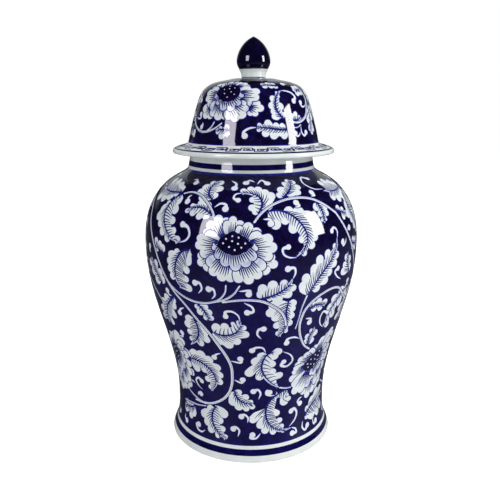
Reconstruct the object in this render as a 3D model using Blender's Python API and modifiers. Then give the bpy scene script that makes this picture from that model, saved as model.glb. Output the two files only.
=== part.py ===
"""Covered ginger jar: a hollow baluster vessel on a foot ring, with a domed lid, its collar and its bud knob.

The row frame has its origin at the centre of the foot ring's resting face, with +Z up the jar's own axis.
Every piece is turned: a profile in the XZ plane is spun about the piece's own vertical axis.
"""
import bpy
from math import cos, hypot, pi, sin
from mathutils import Vector

MM = 0.001

# Whole jar
TOTAL_HEIGHT = 457.0 * MM       # foot to the tip of the knob, 18 inches
TOUCH_GAP = 0.3 * MM            # clearance left between pieces that touch
TURN_STEPS = 56                 # facets round the vessel and the lid
KNOB_STEPS = 40                 # facets round the collar and the knob

# Vessel, outside: height and radius of each station, from the foot up
FOOT_EDGE_R = 96.2 * MM         # widest point of the flared foot
FOOT_EDGE_Z = 1.6 * MM
FOOT_REST_R = 95.4 * MM         # outer edge of the face the jar stands on
FOOT_BAND_Z = 14.0 * MM         # top of the foot's flare
FOOT_BAND_R = 91.4 * MM
WAIST_Z = 48.0 * MM
WAIST_R = 88.2 * MM
BELLY_Z = 232.0 * MM
BELLY_R = 121.9 * MM
SHOULDER_Z = 288.0 * MM
SHOULDER_R = 107.8 * MM
SLOPE_Z = 309.0 * MM            # lower end of the flat slope that runs in to the neck
SLOPE_R = 84.2 * MM
NECK_ROOT_Z = 318.0 * MM
NECK_ROOT_R = 71.2 * MM
NECK_TOP_Z = 332.7 * MM
NECK_TOP_R = 69.2 * MM

# Vessel, inside and underneath
WALL = 6.0 * MM
LIP_ROUND = 2.2 * MM            # rounding of the mouth's lip
FLOOR_Z = 19.0 * MM             # inside floor
FLOOR_ROUND = 16.0 * MM         # inside corner between floor and wall
FOOT_RING_INNER_R = 83.0 * MM
FOOT_RECESS_Z = 6.0 * MM        # underside of the floor, inside the foot ring
FOOT_RING_ROUND = 1.6 * MM

# Lid: heights are above the seat, which is the underside of its brim
LID_SHIFT = 2.6 * MM            # the loose lid sits this far off the vessel's axis, along +X
LID_SEAT_Z = NECK_TOP_Z + TOUCH_GAP
BRIM_EDGE_R = 90.3 * MM
BRIM_EDGE_H = 2.9 * MM
BRIM_SEAT_R = 87.6 * MM
BRIM_TOP_R = 85.0 * MM
BRIM_TOP_H = 7.3 * MM
DOME_FOOT_R = 73.0 * MM
DOME_FOOT_H = 12.2 * MM
DOME_TURN_R = 60.5 * MM         # where the wall starts to round over
DOME_TURN_H = 58.5 * MM
CROWN_R = 36.0 * MM             # outer edge of the almost flat crown
CROWN_H = 77.3 * MM
CROWN_TOP_H = 80.5 * MM
CROWN_FLAT_R = 14.5 * MM        # level seat under the collar
LID_WALL = 6.0 * MM
SPIGOT_R = 58.5 * MM            # outside of the locating rim that hangs in the mouth
SPIGOT_INNER_R = 53.5 * MM
SPIGOT_DEPTH = 9.0 * MM
SPIGOT_ROUND = 1.4 * MM

# Collar: heights above its own foot
COLLAR_HEIGHT = 8.9 * MM
COLLAR_FOOT_R = 13.3 * MM
COLLAR_TOP_R = 15.7 * MM

# Knob: heights above its own foot
KNOB_FOOT_R = 15.9 * MM
KNOB_BELLY_R = 18.4 * MM
KNOB_BELLY_H = 8.0 * MM
KNOB_TIP_ROUND = 0.5 * MM

# Glaze colours, linear RGB
COBALT = (0.016, 0.012, 0.065)
WHITE = (0.76, 0.79, 0.78)


def bezier(p0, p1, p2, p3, count):
    """Points along a cubic curve, its first point left out."""
    points = []
    for i in range(1, count + 1):
        t = i / count
        s = 1.0 - t
        w = (s * s * s, 3 * s * s * t, 3 * s * t * t, t * t * t)
        points.append(tuple(w[0] * a + w[1] * b + w[2] * c + w[3] * d for a, b, c, d in zip(p0, p1, p2, p3)))
    return points


def arc(centre, radius, start, end, count):
    """Points round a circle of the profile, angles in radians from +X, first point included."""
    angles = [start + (end - start) * i / count for i in range(count + 1)]
    return [(centre[0] + radius * cos(a), centre[1] + radius * sin(a)) for a in angles]


def swell(z0, r0, z1, r1, count):
    """Points down a cosine curve that is upright at both ends, its first point left out."""
    points = []
    for i in range(1, count + 1):
        t = i / count
        points.append((r0 + (r1 - r0) * (1.0 - cos(pi * t)) / 2.0, z0 + (z1 - z0) * t))
    return points


def slope_curve(p0, slope0, p1, slope1, count):
    """Cubic through two stations with the given change of radius for each step down; first point left out."""
    third = (p0[1] - p1[1]) / 3.0
    return bezier(p0, (p0[0] + slope0 * third, p0[1] - third),
                  (p1[0] - slope1 * third, p1[1] + third), p1, count)


def offset_inward(points, distance):
    """The same curve moved towards the axis, square to itself. Points run from top to bottom."""
    moved = []
    for i, (r, z) in enumerate(points):
        before = points[max(i - 1, 0)]
        after = points[min(i + 1, len(points) - 1)]
        dr = after[0] - before[0]
        dz = after[1] - before[1]
        length = hypot(dr, dz)
        moved.append((r + distance * dz / length, z - distance * dr / length))
    return moved


def vessel_outside():
    """Outer wall from just under the lip down to the foot's widest point."""
    neck_top = (NECK_TOP_R, NECK_TOP_Z - LIP_ROUND)
    neck_root = (NECK_ROOT_R, NECK_ROOT_Z)
    slope = (SLOPE_R, SLOPE_Z)
    shoulder = (SHOULDER_R, SHOULDER_Z)
    points = [neck_top]
    points += slope_curve(neck_top, 0.05, neck_root, 0.25, 2)
    points += slope_curve(neck_root, 0.25, slope, 1.85, 4)
    points += slope_curve(slope, 1.85, shoulder, 0.68, 4)
    points += slope_curve(shoulder, 0.68, (BELLY_R, BELLY_Z), 0.0, 5)
    points += swell(BELLY_Z, BELLY_R, WAIST_Z, WAIST_R, 11)
    points += slope_curve((WAIST_R, WAIST_Z), 0.0, (FOOT_BAND_R, FOOT_BAND_Z), 0.33, 4)
    points += slope_curve((FOOT_BAND_R, FOOT_BAND_Z), 0.33, (FOOT_EDGE_R, FOOT_EDGE_Z), 0.15, 3)
    return points


def vessel_profile():
    """Whole section: inside floor, inside wall, lip, outer wall, foot ring and recessed base."""
    outer = vessel_outside()
    wall_foot_z = FLOOR_Z + FLOOR_ROUND
    inner = [p for p in offset_inward(outer, WALL)[::2] if wall_foot_z < p[1] < NECK_TOP_Z - 1.5 * LIP_ROUND]
    inner_foot_r = WAIST_R - WALL
    floor_corner = arc((inner_foot_r - FLOOR_ROUND, wall_foot_z), FLOOR_ROUND, -pi / 2, 0.0, 4)
    lip_inner_r = NECK_TOP_R - WALL
    lip = arc((lip_inner_r + LIP_ROUND, NECK_TOP_Z - LIP_ROUND), LIP_ROUND, pi, pi / 2, 3)
    lip += arc((NECK_TOP_R - LIP_ROUND, NECK_TOP_Z - LIP_ROUND), LIP_ROUND, pi / 2, 0.0, 3)
    foot = bezier((FOOT_EDGE_R, FOOT_EDGE_Z), (FOOT_EDGE_R, FOOT_EDGE_Z * 0.35),
                  (FOOT_REST_R + FOOT_EDGE_Z * 0.4, 0.0), (FOOT_REST_R, 0.0), 3)
    ring_in = FOOT_RING_INNER_R + FOOT_RING_ROUND
    foot += arc((ring_in, FOOT_RING_ROUND), FOOT_RING_ROUND, -pi / 2, -pi, 3)
    recess_round = 3.0 * FOOT_RING_ROUND
    recess = arc((FOOT_RING_INNER_R - recess_round, FOOT_RECESS_Z - recess_round), recess_round, 0.0, pi / 2, 3)
    return ([(0.0, FLOOR_Z)] + floor_corner + list(reversed(inner)) + lip + outer[1:]
            + foot + recess + [(0.0, FOOT_RECESS_Z)])


def lid_profile():
    """Section of the lid: hollow dome, brim and locating rim."""
    turn = (DOME_TURN_R, DOME_TURN_H)
    crown = (CROWN_R, CROWN_H)
    foot = (DOME_FOOT_R, DOME_FOOT_H)
    round_over = 12.0 * MM
    dome = [(CROWN_FLAT_R, CROWN_TOP_H)]
    dome += bezier((CROWN_FLAT_R, CROWN_TOP_H), (CROWN_FLAT_R + 8.0 * MM, CROWN_TOP_H),
                   (CROWN_R - 8.0 * MM, CROWN_H + 1.3 * MM), crown, 3)
    dome += bezier(crown, (CROWN_R + round_over, CROWN_H - 0.17 * round_over),
                   (DOME_TURN_R - 0.33 * round_over, DOME_TURN_H + 0.94 * round_over), turn, 6)
    dome += bezier(turn, (DOME_TURN_R + 5.0 * MM, DOME_TURN_H - 14.2 * MM),
                   (DOME_FOOT_R - 2.6 * MM, DOME_FOOT_H + 13.0 * MM), foot, 4)
    brim = bezier(foot, (DOME_FOOT_R + 0.6 * MM, DOME_FOOT_H - 2.6 * MM),
                  (BRIM_TOP_R - 6.0 * MM, BRIM_TOP_H + 2.2 * MM), (BRIM_TOP_R, BRIM_TOP_H), 4)
    brim += bezier((BRIM_TOP_R, BRIM_TOP_H), (BRIM_TOP_R + 2.8 * MM, BRIM_TOP_H - 1.1 * MM),
                   (BRIM_EDGE_R, BRIM_EDGE_H + 2.0 * MM), (BRIM_EDGE_R, BRIM_EDGE_H), 4)
    brim += bezier((BRIM_EDGE_R, BRIM_EDGE_H), (BRIM_EDGE_R, BRIM_EDGE_H * 0.3),
                   (BRIM_SEAT_R + 1.5 * MM, 0.0), (BRIM_SEAT_R, 0.0), 4)
    spigot = [(SPIGOT_R, 0.0)]
    spigot += arc((SPIGOT_R - SPIGOT_ROUND, SPIGOT_ROUND - SPIGOT_DEPTH), SPIGOT_ROUND, 0.0, -pi / 2, 3)
    spigot += arc((SPIGOT_INNER_R + SPIGOT_ROUND, SPIGOT_ROUND - SPIGOT_DEPTH), SPIGOT_ROUND, -pi / 2, -pi, 3)
    inner_top_h = CROWN_TOP_H - LID_WALL
    inside = [(SPIGOT_INNER_R, 0.0)]
    inside += bezier((SPIGOT_INNER_R, 0.0), (SPIGOT_INNER_R, DOME_FOOT_H),
                     (DOME_FOOT_R - 12.0 * MM, DOME_FOOT_H), (DOME_FOOT_R - 11.0 * MM, DOME_FOOT_H * 2.3), 4)
    inside += bezier(inside[-1], (DOME_FOOT_R - 11.0 * MM, DOME_TURN_H),
                     (DOME_TURN_R - 8.0 * MM, inner_top_h), (CROWN_R - 8.0 * MM, inner_top_h - 1.5 * MM), 6)
    return [(0.0, CROWN_TOP_H)] + dome + brim + spigot + inside + [(0.0, inner_top_h)]


def collar_profile():
    """Section of the white collar, waisted a little above its foot."""
    foot = (COLLAR_FOOT_R, 0.5 * MM)
    top = (COLLAR_TOP_R, COLLAR_HEIGHT - 0.4 * MM)
    side = bezier(top, (COLLAR_TOP_R - 1.7 * MM, COLLAR_HEIGHT * 0.68),
                  (COLLAR_FOOT_R - 0.3 * MM, COLLAR_HEIGHT * 0.4), foot, 4)
    return ([(0.0, COLLAR_HEIGHT), (COLLAR_TOP_R - 0.4 * MM, COLLAR_HEIGHT), top] + side
            + [(COLLAR_FOOT_R - 0.5 * MM, 0.0), (0.0, 0.0)])


def knob_profile():
    """Section of the bud knob: a full, low belly drawn up to a point."""
    height = TOTAL_HEIGHT - LID_SEAT_Z - CROWN_TOP_H - COLLAR_HEIGHT - 2.0 * TOUCH_GAP
    belly = (KNOB_BELLY_R, KNOB_BELLY_H)
    tip = (KNOB_TIP_ROUND, height - 0.6 * KNOB_TIP_ROUND)
    side = bezier(tip, (KNOB_BELLY_R * 0.6, height - 4.7 * MM), (KNOB_BELLY_R, KNOB_BELLY_H + 10.0 * MM), belly, 9)
    under = bezier(belly, (KNOB_BELLY_R, KNOB_BELLY_H * 0.62), (KNOB_FOOT_R + 1.3 * MM, KNOB_BELLY_H * 0.28),
                   (KNOB_FOOT_R, 0.4 * MM), 4)
    return [(0.0, height), tip] + side + under + [(KNOB_FOOT_R - 0.4 * MM, 0.0), (0.0, 0.0)]


def principled(name, colour, roughness):
    """A plain glazed-ceramic material."""
    material = bpy.data.materials.new(name)
    material.use_nodes = True
    shader = material.node_tree.nodes["Principled BSDF"]
    shader.inputs["Base Color"].default_value = (*colour, 1.0)
    shader.inputs["Roughness"].default_value = roughness
    shader.inputs["IOR"].default_value = 1.5
    material.diffuse_color = (*colour, 1.0)
    return material


def turned(name, profile, steps, place, material, collection):
    """One closed body, spun from its profile about the object's own Z axis."""
    mesh = bpy.data.meshes.new(name)
    mesh.from_pydata([Vector((r, 0.0, z)) for r, z in profile], [(i, i + 1) for i in range(len(profile) - 1)], [])
    mesh.materials.append(material)
    obj = bpy.data.objects.new(name, mesh)
    obj.location = place
    collection.objects.link(obj)
    screw = obj.modifiers.new("Turn", "SCREW")
    screw.axis = "Z"
    screw.angle = 2.0 * pi
    screw.steps = steps
    screw.render_steps = steps
    screw.use_merge_vertices = True
    screw.merge_threshold = 0.00001
    screw.use_normal_calculate = True
    screw.use_smooth_shade = True
    return obj


def clear_scene():
    """Take every object out of the scene."""
    for obj in list(bpy.data.objects):
        bpy.data.objects.remove(obj, do_unlink=True)


def main():
    """Build the four pieces in their places."""
    clear_scene()
    jar = bpy.data.collections.new("ginger_jar")
    bpy.context.scene.collection.children.link(jar)
    collar_z = LID_SEAT_Z + CROWN_TOP_H + TOUCH_GAP
    knob_z = collar_z + COLLAR_HEIGHT + TOUCH_GAP
    turned("jar_body", vessel_profile(), TURN_STEPS, (0.0, 0.0, 0.0),
           principled("jar_body_glaze", COBALT, 0.08), jar)
    turned("lid", lid_profile(), TURN_STEPS, (LID_SHIFT, 0.0, LID_SEAT_Z),
           principled("lid_glaze", COBALT, 0.08), jar)
    turned("lid_knob_collar", collar_profile(), KNOB_STEPS, (LID_SHIFT, 0.0, collar_z),
           principled("collar_glaze", WHITE, 0.12), jar)
    turned("lid_knob", knob_profile(), KNOB_STEPS, (LID_SHIFT, 0.0, knob_z),
           principled("knob_glaze", COBALT, 0.06), jar)


main()
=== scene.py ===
"""Looks of the covered ginger jar: glazed skins, banded foot and neck, and the reserved white flower scroll.

The jar is wheel-turned porcelain. Its blue ground is brushed on round white flowers, leaves and drops that
are left in reserve, each edged and hatched in stronger cobalt, and one clear glaze lies over all of it.
Painted areas are thin closed layers that follow the turned wall. They are drawn flat, in millimetres, on
the unrolled wall, so every place below is a turn round the axis in degrees (0 in front, rising to the
right) and a height in millimetres.
"""

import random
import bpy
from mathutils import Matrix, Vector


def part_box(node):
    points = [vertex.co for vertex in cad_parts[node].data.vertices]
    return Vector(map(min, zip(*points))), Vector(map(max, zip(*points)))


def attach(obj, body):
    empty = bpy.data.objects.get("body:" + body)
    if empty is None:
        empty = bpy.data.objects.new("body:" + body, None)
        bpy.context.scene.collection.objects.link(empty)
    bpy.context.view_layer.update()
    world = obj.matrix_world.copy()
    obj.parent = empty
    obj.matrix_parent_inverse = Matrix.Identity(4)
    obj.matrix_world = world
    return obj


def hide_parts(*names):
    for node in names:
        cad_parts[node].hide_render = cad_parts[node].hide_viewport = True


bl_info = {
    "name": "Ginger jar looks",
    "version": (1, 0, 0),
    "blender": (4, 5, 0),
    "location": "View3D > Sidebar > Ginger jar",
    "description": "Glazed skins and painted decoration of a covered ginger jar, around its CAD frame",
    "category": "Object",
}

from math import ceil, cos, hypot, pi, radians, sin

import bpy
import numpy as np
from mathutils import Vector
from mathutils.geometry import delaunay_2d_cdt

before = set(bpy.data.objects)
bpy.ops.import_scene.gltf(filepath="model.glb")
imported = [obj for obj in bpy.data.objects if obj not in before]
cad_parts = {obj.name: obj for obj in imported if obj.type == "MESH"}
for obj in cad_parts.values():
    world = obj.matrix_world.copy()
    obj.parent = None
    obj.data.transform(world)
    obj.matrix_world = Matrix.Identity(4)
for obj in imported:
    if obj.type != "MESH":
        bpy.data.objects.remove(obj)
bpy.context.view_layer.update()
MM = 0.001

# ---------------------------------------------------------------- turned sections, millimetres

JAR_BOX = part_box("jar_body")
LID_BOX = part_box("lid")
COLLAR_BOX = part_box("lid_knob_collar")
KNOB_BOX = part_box("lid_knob")
BELLY_R = (JAR_BOX[1][0] - JAR_BOX[0][0]) / 2 / MM
NECK_TOP_Z = JAR_BOX[1][2] / MM
LID_X = (LID_BOX[0][0] + LID_BOX[1][0]) / 2 / MM
LID_GAP = 0.3                   # the lid's brim rides this far above the lip
LID_SEAT_Z = NECK_TOP_Z + LID_GAP
TURN_STEPS = 256                # facets round the vessel and the lid
KNOB_STEPS = 128                # facets round the collar and the bud
PAINT_ROOM = 0.25               # the skins lie this far inside the wall, so that paint layers stay within it
PAINT_DEPTH = 0.12              # how far a paint layer is sunk into the skin


def bezier(p0, p1, p2, p3, count):
    """Points along a cubic curve, its first point left out."""
    points = []
    for i in range(1, count + 1):
        t = i / count
        s = 1.0 - t
        w = (s * s * s, 3 * s * s * t, 3 * s * t * t, t * t * t)
        points.append(tuple(w[0] * a + w[1] * b + w[2] * c + w[3] * d for a, b, c, d in zip(p0, p1, p2, p3)))
    return points


def arc(centre, radius, start, end, count):
    """Points round a circle of the section, angles in radians from +X, first point included."""
    angles = [start + (end - start) * i / count for i in range(count + 1)]
    return [(centre[0] + radius * cos(a), centre[1] + radius * sin(a)) for a in angles]


def swell(z0, r0, z1, r1, count):
    """Points down a cosine curve that is upright at both ends, its first point left out."""
    steps = [i / count for i in range(1, count + 1)]
    return [(r0 + (r1 - r0) * (1.0 - cos(pi * t)) / 2.0, z0 + (z1 - z0) * t) for t in steps]


def slope_curve(p0, slope0, p1, slope1, count):
    """Cubic through two stations with the given change of radius for each step down; first point left out."""
    third = (p0[1] - p1[1]) / 3.0
    return bezier(p0, (p0[0] + slope0 * third, p0[1] - third),
                  (p1[0] - slope1 * third, p1[1] + third), p1, count)


def sunk(points, distance):
    """The same section moved square to itself, into the clay. Outer walls run from top to bottom."""
    moved = []
    for i, (r, z) in enumerate(points):
        before = points[max(i - 1, 0)]
        after = points[min(i + 1, len(points) - 1)]
        dr = after[0] - before[0]
        dz = after[1] - before[1]
        length = hypot(dr, dz)
        moved.append((r + distance * dz / length, z - distance * dr / length))
    return moved


LIP_ROUND = 2.2
NECK_TOP = (69.2, NECK_TOP_Z - LIP_ROUND)
NECK_ROOT = (71.2, 318.0)
SLOPE = (84.2, 309.0)
SHOULDER = (107.8, 288.0)
BELLY = (BELLY_R, 232.0)
WAIST = (88.2, 48.0)
FOOT_BAND = (91.4, 14.0)
FOOT_EDGE = (96.2, 1.6)
FOOT_REST_R = 95.4
WALL = 6.0
FLOOR_Z = 19.0
FLOOR_ROUND = 16.0
FOOT_RING_INNER_R = 83.0
FOOT_RECESS_Z = 6.0
FOOT_RING_ROUND = 1.6


def vessel_outside(fine):
    """Outer wall from just under the lip down to the foot's widest point; fine multiplies its points."""
    points = [NECK_TOP]
    points += slope_curve(NECK_TOP, 0.05, NECK_ROOT, 0.25, 2 * fine)
    points += slope_curve(NECK_ROOT, 0.25, SLOPE, 1.85, 4 * fine)
    points += slope_curve(SLOPE, 1.85, SHOULDER, 0.68, 4 * fine)
    points += slope_curve(SHOULDER, 0.68, BELLY, 0.0, 5 * fine)
    points += swell(BELLY[1], BELLY[0], WAIST[1], WAIST[0], 11 * fine)
    points += slope_curve(WAIST, 0.0, FOOT_BAND, 0.33, 4 * fine)
    points += slope_curve(FOOT_BAND, 0.33, FOOT_EDGE, 0.15, 3 * fine)
    return points


def vessel_section():
    """Whole section: inside floor, inside wall, lip, outer wall, foot ring and recessed base."""
    outer = vessel_outside(2)
    wall_foot_z = FLOOR_Z + FLOOR_ROUND
    wall_top_z = NECK_TOP_Z - 1.5 * LIP_ROUND
    inner = [p for p in sunk(vessel_outside(1), WALL) if wall_foot_z < p[1] < wall_top_z]
    inner_foot_r = WAIST[0] - WALL
    floor_corner = arc((inner_foot_r - FLOOR_ROUND, wall_foot_z), FLOOR_ROUND, -pi / 2, 0.0, 8)
    lip_inner_r = NECK_TOP[0] - WALL
    lip = arc((lip_inner_r + LIP_ROUND, NECK_TOP_Z - LIP_ROUND), LIP_ROUND, pi, pi / 2, 5)
    lip += arc((NECK_TOP[0] - LIP_ROUND, NECK_TOP_Z - LIP_ROUND), LIP_ROUND, pi / 2, 0.0, 5)[:-1]
    foot = bezier(FOOT_EDGE, (FOOT_EDGE[0], FOOT_EDGE[1] * 0.35),
                  (FOOT_REST_R + FOOT_EDGE[1] * 0.4, 0.0), (FOOT_REST_R, 0.0), 4)
    ring_in = FOOT_RING_INNER_R + FOOT_RING_ROUND
    foot += arc((ring_in, FOOT_RING_ROUND), FOOT_RING_ROUND, -pi / 2, -pi, 4)
    recess_round = 3.0 * FOOT_RING_ROUND
    recess = arc((FOOT_RING_INNER_R - recess_round, FOOT_RECESS_Z - recess_round),
                 recess_round, 0.0, pi / 2, 4)
    return ([(0.0, FLOOR_Z)] + floor_corner + list(reversed(inner)) + lip + sunk(outer, PAINT_ROOM)
            + foot + recess + [(0.0, FOOT_RECESS_Z)])


BRIM_EDGE = (90.3, 2.9)
BRIM_SEAT_R = 87.6
BRIM_TOP = (85.0, 7.3)
DOME_FOOT = (73.0, 12.2)
DOME_TURN = (60.5, 58.5)
CROWN = (36.0, 77.3)
CROWN_TOP_H = 80.5
CROWN_FLAT_R = 14.5
LID_WALL = 6.0
SPIGOT_R = 58.5
SPIGOT_INNER_R = 53.5
SPIGOT_DEPTH = 9.0
SPIGOT_ROUND = 1.4


def lid_outside(fine):
    """Top of the lid from the collar's seat over the dome and brim to the brim's widest point."""
    round_over = 12.0
    points = [(CROWN_FLAT_R, CROWN_TOP_H)]
    points += bezier((CROWN_FLAT_R, CROWN_TOP_H), (CROWN_FLAT_R + 8.0, CROWN_TOP_H),
                     (CROWN[0] - 8.0, CROWN[1] + 1.3), CROWN, 3 * fine)
    points += bezier(CROWN, (CROWN[0] + round_over, CROWN[1] - 0.17 * round_over),
                     (DOME_TURN[0] - 0.33 * round_over, DOME_TURN[1] + 0.94 * round_over),
                     DOME_TURN, 6 * fine)
    points += bezier(DOME_TURN, (DOME_TURN[0] + 5.0, DOME_TURN[1] - 14.2),
                     (DOME_FOOT[0] - 2.6, DOME_FOOT[1] + 13.0), DOME_FOOT, 4 * fine)
    points += bezier(DOME_FOOT, (DOME_FOOT[0] + 0.6, DOME_FOOT[1] - 2.6),
                     (BRIM_TOP[0] - 6.0, BRIM_TOP[1] + 2.2), BRIM_TOP, 4 * fine)
    points += bezier(BRIM_TOP, (BRIM_TOP[0] + 2.8, BRIM_TOP[1] - 1.1),
                     (BRIM_EDGE[0], BRIM_EDGE[1] + 2.0), BRIM_EDGE, 3 * fine)
    return [(r, LID_SEAT_Z + h) for r, h in points]


def lid_section():
    """Section of the lid: hollow dome, brim and locating rim."""
    under = bezier(BRIM_EDGE, (BRIM_EDGE[0], BRIM_EDGE[1] * 0.3),
                   (BRIM_SEAT_R + 1.5, 0.0), (BRIM_SEAT_R, 0.0), 4)
    under += [(SPIGOT_R, 0.0)]
    under += arc((SPIGOT_R - SPIGOT_ROUND, SPIGOT_ROUND - SPIGOT_DEPTH), SPIGOT_ROUND, 0.0, -pi / 2, 4)
    under += arc((SPIGOT_INNER_R + SPIGOT_ROUND, SPIGOT_ROUND - SPIGOT_DEPTH), SPIGOT_ROUND, -pi / 2, -pi, 4)
    inner_top_h = CROWN_TOP_H - LID_WALL
    hollow_r = DOME_FOOT[0] - 11.0
    inside = [(SPIGOT_INNER_R, 0.0)]
    inside += bezier((SPIGOT_INNER_R, 0.0), (SPIGOT_INNER_R, DOME_FOOT[1]),
                     (hollow_r - 1.0, DOME_FOOT[1]), (hollow_r, DOME_FOOT[1] * 2.3), 8)
    inside += bezier(inside[-1], (hollow_r, DOME_TURN[1]),
                     (DOME_TURN[0] - 8.0, inner_top_h), (CROWN[0] - 8.0, inner_top_h - 1.5), 12)
    low = [(r, LID_SEAT_Z + h) for r, h in under + inside + [(0.0, inner_top_h)]]
    top = sunk(lid_outside(2), PAINT_ROOM)
    return [(0.0, top[0][1])] + top + low


COLLAR_TOP_R = 15.7
COLLAR_FOOT_R = 13.3
COLLAR_SHADE_LINE_H = 0.9             # height of the thin blue-grey line round the collar's foot, partly painted shade where the collar sits on the lid
BUD_BELLY_R = 18.4
BUD_BELLY_H = 8.0               # height of the widest place above the collar
BUD_FOOT_R = 15.9
BUD_TIP_ROOM = 0.05             # the tip stops this far short of the frame's top


def collar_section():
    """Section of the white collar, waisted a little above its foot."""
    z0, z1 = COLLAR_BOX[0][2] / MM, COLLAR_BOX[1][2] / MM
    height = z1 - z0
    rim_round = 0.8
    rim = arc((COLLAR_TOP_R - rim_round, z1 - rim_round), rim_round, pi / 2, 0.0, 4)
    side = bezier((COLLAR_TOP_R, z1 - 0.4), (COLLAR_TOP_R - 1.7, z0 + height * 0.68),
                  (COLLAR_FOOT_R - 0.3, z0 + height * 0.4), (COLLAR_FOOT_R, z0 + 0.5), 10)
    return [(0.0, z1)] + rim + side[1:] + [(COLLAR_FOOT_R - 0.5, z0), (0.0, z0)]


def knob_section():
    """Section of the bud knob: a full, low belly drawn up to a point."""
    z0, z1 = KNOB_BOX[0][2] / MM, KNOB_BOX[1][2] / MM - BUD_TIP_ROOM
    belly = (BUD_BELLY_R, z0 + BUD_BELLY_H)
    tip = (0.5, z1 - 0.3)
    side = bezier(tip, (belly[0] * 0.6, z1 - 4.7), (belly[0], belly[1] + 10.0), belly, 22)
    under = bezier(belly, (belly[0], z0 + 4.96), (17.2, z0 + 2.24), (BUD_FOOT_R, z0 + 0.4), 8)
    return [(0.0, z1), tip] + side + under + [(BUD_FOOT_R - 0.4, z0), (0.0, z0)]


WELD = 2e-6                     # metres: closes the seam and the poles, and keeps the thinnest paint open
SMOOTH_ANGLE = 50.0             # edges sharper than this many degrees stay crisp


def turned(name, section, steps, axis_x):
    """One closed body: the section is drawn by extruding a point, then spun round the upright axis."""
    bpy.ops.object.select_all(action="DESELECT")
    bpy.ops.mesh.primitive_plane_add(size=1.0, location=(0.0, 0.0, 0.0))
    piece = bpy.context.object
    piece.name = name
    piece.data.name = name
    bpy.ops.object.mode_set(mode="EDIT")
    bpy.ops.mesh.select_mode(type="VERT")
    bpy.ops.mesh.merge(type="CENTER")
    here = Vector((0.0, 0.0, 0.0))
    first = True
    for r, z in section:
        there = Vector((axis_x + r, 0.0, z)) * MM
        if first:
            bpy.ops.transform.translate(value=there - here)
        else:
            bpy.ops.mesh.extrude_vertices_move(TRANSFORM_OT_translate={"value": there - here})
        here = there
        first = False
    bpy.ops.mesh.select_all(action="SELECT")
    bpy.ops.mesh.spin(steps=steps, angle=2.0 * pi, center=(axis_x * MM, 0.0, 0.0), axis=(0.0, 0.0, 1.0))
    bpy.ops.mesh.select_all(action="SELECT")
    bpy.ops.mesh.remove_doubles(threshold=WELD)
    bpy.ops.mesh.normals_make_consistent(inside=False)
    bpy.ops.object.mode_set(mode="OBJECT")
    bpy.ops.object.shade_smooth_by_angle(angle=radians(SMOOTH_ANGLE))
    return piece


# ---------------------------------------------------------------- the wall as a flat sheet

class Wall:
    """A turned wall unrolled to a sheet. A place on it is (turn in degrees, height or distance in mm)."""

    def __init__(self, outline, axis_x, by_arc):
        r, z = np.array(list(reversed(sunk(outline, PAINT_ROOM)))).T
        self.r, self.z, self.axis_x = r, z, axis_x
        self.s = np.concatenate(([0.0], np.cumsum(np.hypot(np.diff(r), np.diff(z)))))
        dr, dz = np.gradient(r, self.s), np.gradient(z, self.s)
        length = np.hypot(dr, dz)
        self.nr, self.nz = dz / length, -dr / length
        self.v = self.s if by_arc else z

    def patch(self, places):
        """What a motif is drawn round: the middle turn, the millimetres in a degree and the middle height."""
        turns, heights = np.array(places, float).T
        turn = (turns.min() + turns.max()) / 2
        s = np.interp((heights.min() + heights.max()) / 2, self.v, self.s)
        return turn, radians(1.0) * float(np.interp(s, self.s, self.r)), float(s)

    def flat(self, places, patch):
        """Places on the wall as points of the patch's plane, in millimetres."""
        turns, heights = np.array(places, float).T
        up = np.interp(heights, self.v, self.s) - patch[2]
        return np.column_stack(((turns - patch[0]) * patch[1], up))

    def solid(self, points, patch, turn, lift):
        """Plane points back on the wall, raised by lift: positions in metres and outward normals."""
        angle = np.radians(patch[0] + turn + points[:, 0] / patch[1])
        s = points[:, 1] + patch[2]
        nr, nz = np.interp(s, self.s, self.nr), np.interp(s, self.s, self.nz)
        r = np.interp(s, self.s, self.r) + nr * lift
        z = np.interp(s, self.s, self.z) + nz * lift
        places = np.column_stack((self.axis_x + r * np.sin(angle), -r * np.cos(angle), z)) * MM
        normals = np.column_stack((nr * np.sin(angle), -nr * np.cos(angle), nz))
        return places, normals / np.linalg.norm(normals, axis=1)[:, None]


VESSEL = Wall(vessel_outside(12), 0.0, by_arc=False)
LID = Wall(lid_outside(12), LID_X, by_arc=True)

# ---------------------------------------------------------------- brush work, flat and in millimetres

GRAIN = 3.0                     # widest triangle inside a painted area
FINE = 1.1                      # spacing of points along an edge
OUTLINE = 0.85                  # width of the cobalt line round each white shape


def through(points, step=FINE):
    """A smooth path through given points, evenly spaced."""
    p = np.array(points, float)
    if len(p) == 2:
        count = max(2, int(ceil(np.linalg.norm(p[1] - p[0]) / step)) + 1)
        return p[0] + (p[1] - p[0]) * np.linspace(0.0, 1.0, count)[:, None]
    q = np.vstack((2 * p[0] - p[1], p, 2 * p[-1] - p[-2]))
    steps = np.maximum(np.linalg.norm(np.diff(q, axis=0), axis=1), 1e-6)
    knots = np.concatenate(([0.0], np.cumsum(steps ** 0.5)))
    path = []
    for i in range(1, len(q) - 2):
        t = np.linspace(knots[i], knots[i + 1], 12, endpoint=False)[:, None]
        k = knots[i - 1:i + 3]
        a = [((k[j + 1] - t) * q[i - 1 + j] + (t - k[j]) * q[i + j]) / (k[j + 1] - k[j])
             for j in range(3)]
        b = [((k[j + 2] - t) * a[j] + (t - k[j]) * a[j + 1]) / (k[j + 2] - k[j]) for j in range(2)]
        path.append(((k[2] - t) * b[0] + (t - k[1]) * b[1]) / (k[2] - k[1]))
    path = np.vstack(path + [p[-1:]])
    return along(path, max(2, int(ceil(length_of(path) / step)) + 1))


def length_of(path):
    """Length of a path."""
    return float(np.linalg.norm(np.diff(path, axis=0), axis=1).sum())


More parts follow.
